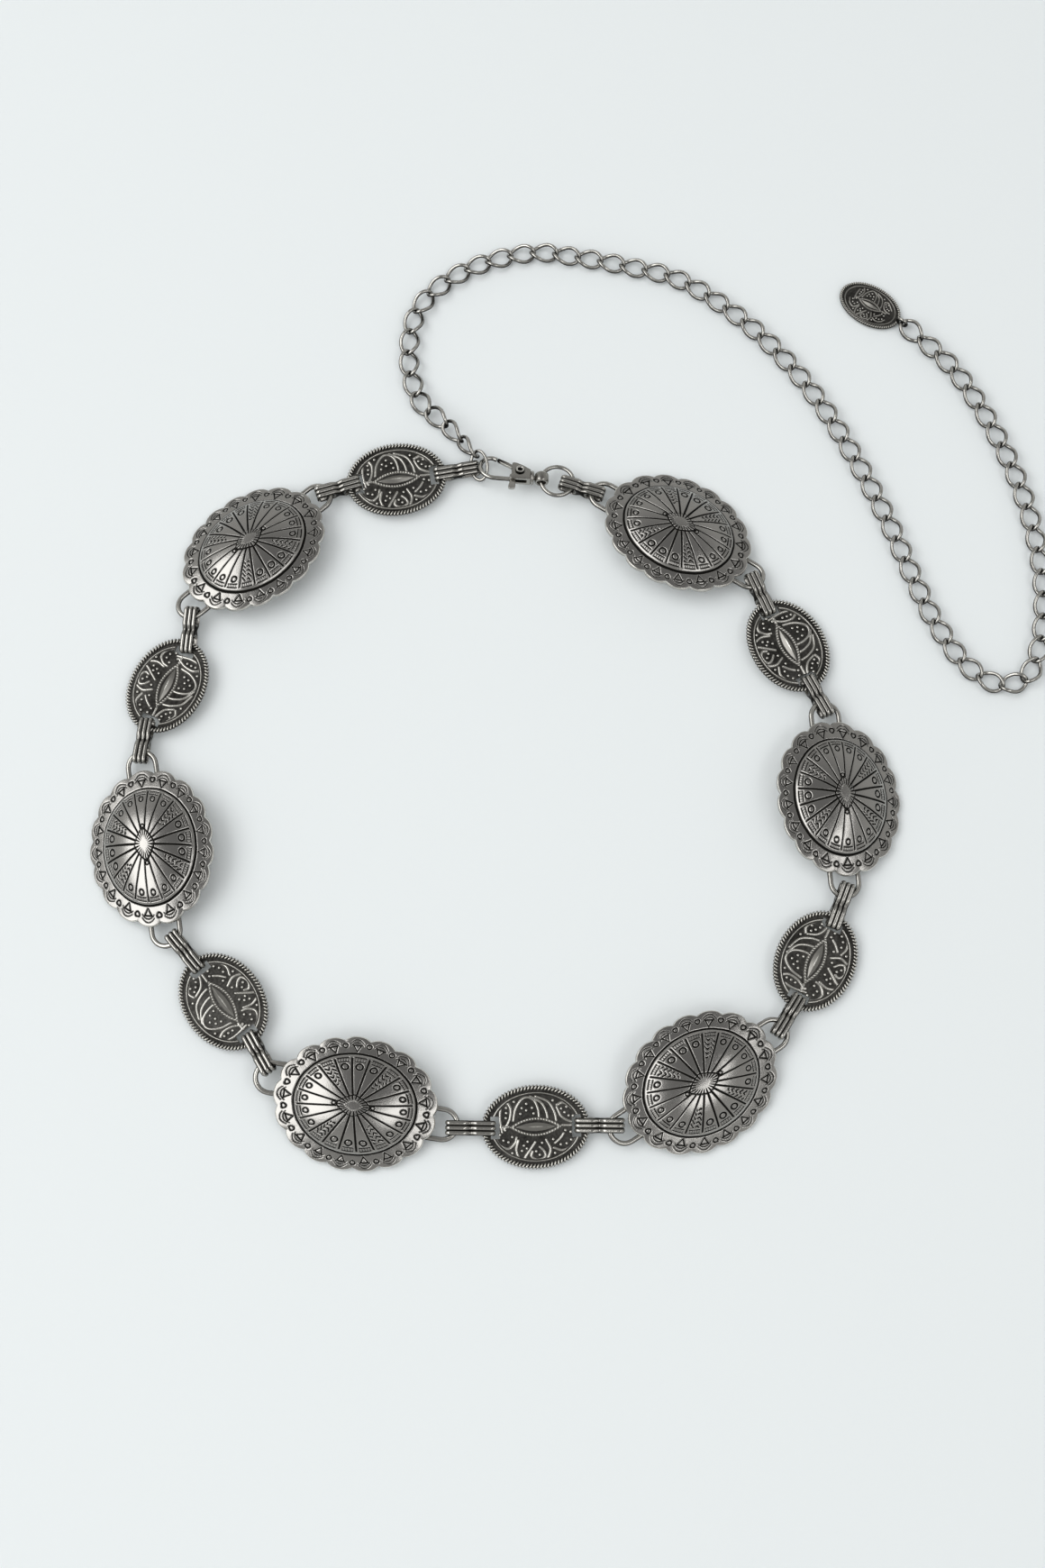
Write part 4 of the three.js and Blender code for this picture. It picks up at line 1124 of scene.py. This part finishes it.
def antiqued_silver(kind, finish):
    """Antiqued silver: zinc alloy, cast or stamped, silver-plated, dipped in oxide and buffed by hand"""
    # To the eye: matt and nearly black where the buff couldn't reach, a cloudy grey with a soft sheen on open
    # ground, and small sharp glints on rubbed edges. A fine casting grain breaks up all that it mirrors.
    tree, shader = new_material(f"antiqued_silver_{kind}")
    ground, ground_roughness, shine_roughness, dark_from, dark_to = FINISHES[kind]
    # On wires, links and rings the relief also holds painted shade on the flanks and a painted highlight on
    # top, which turn into the oxide colour and the shine here
    relief = add_node(tree, "ShaderNodeAttribute", {"attribute_name": "relief"}).outputs["Fac"]
    level = varied(tree, relief, noise(tree, CLOUDS, Detail=4.0, Roughness=0.6), finish.unevenness)
    level = varied(tree, level, noise(tree, SPECKS, Detail=3.0), 0.3)
    clean, worn = ramp(tree, level, dark_from, dark_to), ramp(tree, level, WORN_FROM, WORN_TO)
    base = blend(tree, clean, opaque(finish.oxide), opaque(getattr(finish, ground)))
    colour = blend(tree, worn, base, opaque(finish.shine))
    rough = spread(tree, clean, finish.oxide_roughness, ground_roughness)
    rough = blend(tree, worn, rough, shine_roughness, "FLOAT")
    pits = noise(tree, GRAIN, Detail=2.0)
    depth = GRAIN_DEPTH * MM
    bump = add_node(tree, "ShaderNodeBump", Height=pits, Strength=finish.casting_grain, Distance=depth)
    feed(tree, shader, Base_Color=colour, Metallic=1.0, Roughness=rough, Normal=bump.outputs[0])


def floor_paper(colour):
    """Seamless background paper, rolled wood pulp without coating"""
    # To the eye: an even pale sheet with no sheen, where only a trace of fibre shows
    tree, shader = new_material("background_paper")
    fibre_size, between_fibres = 2, [0.4, 0.4, 0.4, 1.0]
    tone = spread(tree, noise(tree, fibre_size, Detail=3.0), 0.985, 1.0)
    mixed = blend(tree, tone, between_fibres, colour)
    feed(tree, shader, Base_Color=mixed, Roughness=0.9, Specular_IOR_Level=0.15)


# Settings


def count_property(label, text, value, low, high):
    return bpy.props.IntProperty(name=label, description=text, default=value, min=low, max=high)


def length_property(label, text, value, low, high):
    text = f"{text}, in millimetres"
    return bpy.props.FloatProperty(name=label, description=text, default=value, min=low, max=high)


def share_property(label, text, value):
    return bpy.props.FloatProperty(
        name=label, description=text, default=value, min=0, max=1, subtype="FACTOR"
    )


def colour_property(label, text, value):
    return bpy.props.FloatVectorProperty(
        name=label, description=text, default=linear(value)[:3], subtype="COLOR", size=3, min=0, max=1
    )


class BeltSizes(bpy.types.PropertyGroup):
    """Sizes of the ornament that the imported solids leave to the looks"""

    concho_steps: count_property("Steps to a scallop", "Points along each scallop of a concho", 34, 8, 48)
    scallop_depth: length_property("Scallop depth", "How far a notch cuts into a concho's edge", 1.3, 0.2, 2)
    engraving: length_property("Engraving", "Depth of the stamped lines", 0.3, 0.05, 0.5)
    rope_pitch: length_property("Rope pitch", "Spacing of the border's slanting beads", 1.2, 0.5, 3)
    rope_slant: bpy.props.FloatProperty(
        name="Rope slant", description="Slant of the border's beads, in degrees", default=58, min=0, max=90
    )
    dot_radius: length_property("Dot radius", "Radius of the field's raised dots", 0.55, 0.2, 1)
    waist_pinch: length_property("Waist pinch", "How far a connector's waist is pinched", 1.0, 0, 1.5)
    rib_depth: length_property("Rib depth", "Depth between a connector's ribs", 0.5, 0.1, 0.6)
    link_steps: count_property("Steps to a link", "Points round each chain link", 28, 10, 48)
    wire_sides: count_property("Wire sides", "Faces round a wire", 14, 6, 32)


class BeltFinishes(bpy.types.PropertyGroup):
    """Colours and sheen of the antiqued silver and the paper"""

    oxide: colour_property("Oxide", "Dark oxide left in the lines", "#201f1d")
    ground: colour_property("Ground", "Buffed plain ground of the conchos", "#a9a7a3")
    dark_ground: colour_property("Dark ground", "Ground of the medallions' field", "#8f8d88")
    shine: colour_property("Shine", "Worn high points", "#dedcd5")
    wire: colour_property("Wire", "Plated wire and findings", "#9d9b96")
    paper: colour_property("Paper", "Background paper", "#eaeff0")
    oxide_roughness: share_property("Oxide roughness", "Roughness of the oxide", 0.6)
    unevenness: share_property("Unevenness", "How unevenly the oxide was buffed away", 0.4)
    casting_grain: share_property("Casting grain", "Strength of the casting's fine grain", 0.35)


# Pieces


def dress(piece, nodes=(), body="belt"):
    """Hands a finished piece to the frame"""
    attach(piece, body)
    if nodes:
        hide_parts(*nodes)


def ring_path(place, wide, tall, steps):
    """A closed oval in a place's own level plane"""
    angles = np.linspace(0, 2 * math.pi, steps + 1)
    return [place @ Vector((wide * math.cos(a), tall * math.sin(a), 0)) for a in angles]


class BELT_OT_finishes(bpy.types.Operator):
    """Make the silver finishes and the node trees that the pieces share"""

    bl_idname = "belt.finishes"
    bl_label = "Finishes"

    def execute(self, context):
        for kind in FINISHES:
            antiqued_silver(kind, context.scene.belt_finishes)
        wire_tree()
        rows_tree()
        return {"FINISHED"}


class BELT_OT_conchos(bpy.types.Operator):
    """Make the domed, scalloped conchos with their stamped ornament and soldered loops"""

    bl_idname = "belt.conchos"
    bl_label = "Conchos"

    def execute(self, context):
        sizes = context.scene.belt_sizes
        shape = concho_shape(sizes)
        for key in CONCHO_PLACES:
            plate = solid(f"concho_plate_{key}", shape.placed(concho_place(key)), silver_of("concho"))
            dress(plate, [f"concho_{key}"])
            paths = loop_paths(key)
            dress(wires(f"concho_loops_{key}", paths, LOOP["wire"], sizes.wire_sides))
        return {"FINISHED"}


def pierced_blank():
    """The medallion's plate with its two slots cut through"""
    length, width = MEDALLION["half_length"] - ROPE_REACH, MEDALLION["half_width"] - ROPE_REACH
    heights = {"seat": 1.15, "field": MEDALLION["field"], "edge": 0.75}
    plate = oval_plate(length, width, heights, border=2.1 - ROPE_REACH, scale=1.0, around=300, rows=120)
    sample = solid("medallion_sample", plate)
    span = MEDALLION["slot_outer"] - MEDALLION["slot_inner"]
    middle = MEDALLION["slot_inner"] + span / 2
    through = (span, MEDALLION["slot_length"], 8)
    cutters = [solid("slot", box_shape(through, (side * middle, 0, 0)), smooth=False) for side in (-1, 1)]
    return shape_of(cut_by(sample, cutters))


def dress_plate(label, node, place, plate, beads):
    """An oval plate and its rope border and dots, put in their place"""
    silver = silver_of("medallion")
    dress(solid(label.format("plate"), plate.placed(place), silver), [node])
    marks = [place @ mark for places, _ in beads for mark in places]
    reaches = [reach for _, rows in beads for reach in rows]
    dress(set_out(label.format("beads"), bead_shape(), marks, silver, reaches))


class BELT_OT_medallions(bpy.types.Operator):
    """Make the oval medallions with their pierced slots, rope border, ribs and dots"""

    bl_idname = "belt.medallions"
    bl_label = "Medallions"

    def execute(self, context):
        sizes = context.scene.belt_sizes
        length, width = MEDALLION["half_length"], MEDALLION["half_width"]
        blank = pierced_blank()
        border = {"inset": 0.92, "height": 1.18, "pitch": sizes.rope_pitch, "thickness": 0.82}
        rope = rope_marks(length, width, sizes.rope_slant, **border)
        dots = dot_marks(scale=1.0, height=MEDALLION["field"] + 0.28, radius=sizes.dot_radius)
        for key in MEDALLION_PLACES:
            label = "medallion_{}_" + key
            dress_plate(label, f"medallion_{key}", medallion_place(key), blank, (rope, dots))
        return {"FINISHED"}


class BELT_OT_connectors(bpy.types.Operator):
    """Make the ribbed connectors in their packed places"""

    bl_idname = "belt.connectors"
    bl_label = "Connectors"

    def execute(self, context):
        sizes = context.scene.belt_sizes
        nodes = sorted(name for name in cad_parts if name.startswith("connector_"))
        places = [connector_place(node) for node in nodes]
        shape = shape_of(connector_part(sizes))
        dress(set_out("connectors", shape, places, silver_of("wire")), nodes)
        return {"FINISHED"}


class BELT_OT_chain(bpy.types.Operator):
    """Make the curb chain along its route"""

    bl_idname = "belt.chain"
    bl_label = "Curb chain"

    def execute(self, context):
        sizes = context.scene.belt_sizes
        links = set_out("curb_links", link_shape(sizes.link_steps), link_places(), silver_of("wire"))
        # The links' flanks and undersides get painted shade and their tops a painted highlight with some wear
        dress(painted_light_and_wear_by_facing(links), ["curb_chain"])
        return {"FINISHED"}


class BELT_OT_pendant(bpy.types.Operator):
    """Make the small oval pendant and its bail"""

    bl_idname = "belt.pendant"
    bl_label = "Pendant"

    def execute(self, context):
        sizes = context.scene.belt_sizes
        place = pendant_place()
        length, width = PENDANT["half_length"], PENDANT["half_width"]
        heights = {"seat": 1.2, "field": 1.2, "edge": 0.75}
        scale = 0.56
        reach = ROPE_REACH * scale
        inner = (length - reach, width - reach, heights)
        plate = oval_plate(*inner, border=1.25 - reach, scale=scale, around=220, rows=84)
        border = {"inset": 0.68, "height": 1.25, "pitch": 0.82, "thickness": 0.5}
        rope = rope_marks(length, width, sizes.rope_slant, **border)
        dots = dot_marks(scale, height=1.36, radius=sizes.dot_radius * 0.62)
        dress_plate("pendant_{}", "pendant", place, plate, (rope, dots))
        radius, thick = PENDANT["bail"], PENDANT["bail_wire"]
        middle = Matrix.Translation((length + radius - thick, 0, radius + thick))
        path = ring_path(place @ middle @ turn_x(90), radius, radius, steps=32)
        dress(wires("pendant_bail", [path], thick, sizes.wire_sides))
        return {"FINISHED"}


class BELT_OT_rings(bpy.types.Operator):
    """Make the end ring and the swivel's round ring"""

    bl_idname = "belt.rings"
    bl_label = "Rings"

    def execute(self, context):
        sizes = context.scene.belt_sizes
        radius = SWIVEL_RING["radius"]
        oval = ring_path(ring_place(), END_RING["half_width"], END_RING["half_length"], steps=64)
        circle = ring_path(swivel_ring_place(), radius, radius, steps=64)
        rows = (
            ("end_ring", oval, END_RING["wire"]),
            ("swivel_ring", circle, SWIVEL_RING["wire"]),
        )
        for name, path, thick in rows:
            dress(wires(f"{name}_wire", [path], thick, sizes.wire_sides), [name])
        return {"FINISHED"}


class BELT_OT_clasp(bpy.types.Operator):
    """Make the swivel snap hook with its sprung gate"""

    bl_idname = "belt.clasp"
    bl_label = "Snap hook"

    def execute(self, context):
        sizes = context.scene.belt_sizes
        silver = silver_of("wire")
        place = clasp_place()
        body = joined([shape_of(hook_body()), collar_shape()]).placed(place)
        dress(solid("hook_body", body, silver), ["clasp_hook"])
        dress(wires("hook_bow", [bow_path()], CLASP["bow_wire"], sizes.wire_sides))
        dress(solid("hook_gate", gate_shape().placed(place), silver), ["clasp_gate"], "gate")
        dress(solid("hook_rivet", rivet_shape().placed(place), silver), ["clasp_rivet"])
        swivel = solid("hook_swivel", swivel_shape().placed(swivel_place()), silver, tidy=True)
        dress(swivel, ["clasp_swivel"])
        return {"FINISHED"}


# Soft boxes: direction from the belt's middle, distance, size, power, and whether the metal mirrors them
LIGHTS = {
    "left": ((-0.64, -0.06, 0.76), 2.5, (2.9, 1.4), 30, True),
    "front": ((0.36, -0.42, 0.83), 2.6, (1.35, 0.85), 8, True),
    "right": ((0.56, -0.05, 0.83), 2.6, (0.85, 0.36), 2.3, True),
    "overhead": ((-0.4, 0.3, 2.5), 1, (2.2, 2.2), 17.5, False),
}
# The photograph's camera: metres away, degrees above the surface, and its reach in the photograph's pixels
CAMERA = {"distance": 0.8, "rise": 75, "sensor": 36, "reach_pixels": 2500, "photo_height_pixels": 1740}
PAPER_HALF = 3.0


def area_light(name, middle, direction, distance, size, power, mirrored):
    """A soft box; one that isn't mirrored lights the paper and leaves no reflection in the metal"""
    light = bpy.data.lights.new(name, "AREA")
    light.shape = "RECTANGLE"
    light.size, light.size_y = size
    light.energy = power
    lamp = bpy.data.objects.new(name, light)
    lamp.location = middle + distance * Vector(direction)
    lamp.rotation_euler = (middle - lamp.location).to_track_quat("-Z", "Y").to_euler()
    lamp.visible_glossy = mirrored
    bpy.context.scene.collection.objects.link(lamp)


def photo_camera(middle):
    """The camera of the photograph, aimed at the belt's middle"""
    rise = math.radians(CAMERA["rise"])
    data = bpy.data.cameras.new("camera")
    data.sensor_fit = "VERTICAL"
    data.sensor_height = CAMERA["sensor"]
    data.lens = CAMERA["sensor"] * CAMERA["reach_pixels"] / CAMERA["photo_height_pixels"]
    data.clip_start = 0.01
    camera = bpy.data.objects.new("camera", data)
    camera.location = middle + CAMERA["distance"] * Vector((0, -math.cos(rise), math.sin(rise)))
    camera.rotation_euler = (math.pi / 2 - rise, 0, 0)
    bpy.context.scene.collection.objects.link(camera)
    return camera


def studio_world():
    """Grey studio surroundings, darker overhead, so that level metal reads dark against the pale paper"""
    world = bpy.data.worlds.new("studio")
    bpy.context.scene.world = world
    tree = cleared_tree(world)
    place = add_node(tree, "ShaderNodeTexCoord")
    parts = add_node(tree, "ShaderNodeSeparateXYZ", Vector=place.outputs["Generated"])
    around, overhead = [0.5, 0.5, 0.49, 1.0], [0.23, 0.23, 0.23, 1.0]
    tone = blend(tree, ramp(tree, parts.outputs["Z"], 0.45, 0.95), around, overhead)
    glow = add_node(tree, "ShaderNodeBackground", Color=tone, Strength=1.0)
    add_node(tree, "ShaderNodeOutputWorld", _0=glow.outputs[0])


class BELT_OT_stage(bpy.types.Operator):
    """Make the paper, the lights and the camera at the photograph's angle"""

    bl_idname = "belt.stage"
    bl_label = "Stage"

    def execute(self, context):
        scene = context.scene
        floor_paper(opaque(scene.belt_finishes.paper))
        paper = bpy.data.materials["background_paper"]
        mesh = bpy.data.meshes.new("paper")
        corners = [(x * PAPER_HALF, y * PAPER_HALF, 0) for x, y in ((-1, -1), (1, -1), (1, 1), (-1, 1))]
        mesh.from_pydata(corners, [], [(0, 1, 2, 3)])
        object_of("paper", mesh, paper, smooth=False)
        middle = Vector((SHIFT.x, SHIFT.y, 0)) * MM
        for name, row in LIGHTS.items():
            area_light(name, middle, *row)
        studio_world()
        scene.camera = photo_camera(middle)
        scene.view_settings.view_transform = "Standard"
        scene.view_settings.look = "None"
        return {"FINISHED"}


PIECES = (
    BELT_OT_finishes, BELT_OT_conchos, BELT_OT_medallions, BELT_OT_connectors, BELT_OT_chain, BELT_OT_pendant,
    BELT_OT_rings, BELT_OT_clasp, BELT_OT_stage,
)


class BELT_PT_pieces(bpy.types.Panel):
    """Lists the belt's sizes, finishes and pieces"""

    bl_idname = "BELT_PT_pieces"
    bl_label = "Pendant belt"
    bl_space_type = "VIEW_3D"
    bl_region_type = "UI"
    bl_category = "Belt"

    def draw(self, context):
        layout = self.layout
        for group in (context.scene.belt_sizes, context.scene.belt_finishes):
            column = layout.column(align=True)
            for name in group.bl_rna.properties.keys():
                if name not in ("rna_type", "name"):
                    column.prop(group, name)
        for piece in PIECES:
            layout.operator(piece.bl_idname)


CLASSES = (BeltSizes, BeltFinishes, *PIECES, BELT_PT_pieces)


def register():
    for item in CLASSES:
        bpy.utils.register_class(item)
    bpy.types.Scene.belt_sizes = bpy.props.PointerProperty(type=BeltSizes)
    bpy.types.Scene.belt_finishes = bpy.props.PointerProperty(type=BeltFinishes)


def unregister():
    del bpy.types.Scene.belt_finishes
    del bpy.types.Scene.belt_sizes
    for item in reversed(CLASSES):
        bpy.utils.unregister_class(item)


def main():
    register()
    for piece in PIECES:
        group, name = piece.bl_idname.split(".")
        getattr(getattr(bpy.ops, group), name)()


if __name__ == "__main__":
    main()
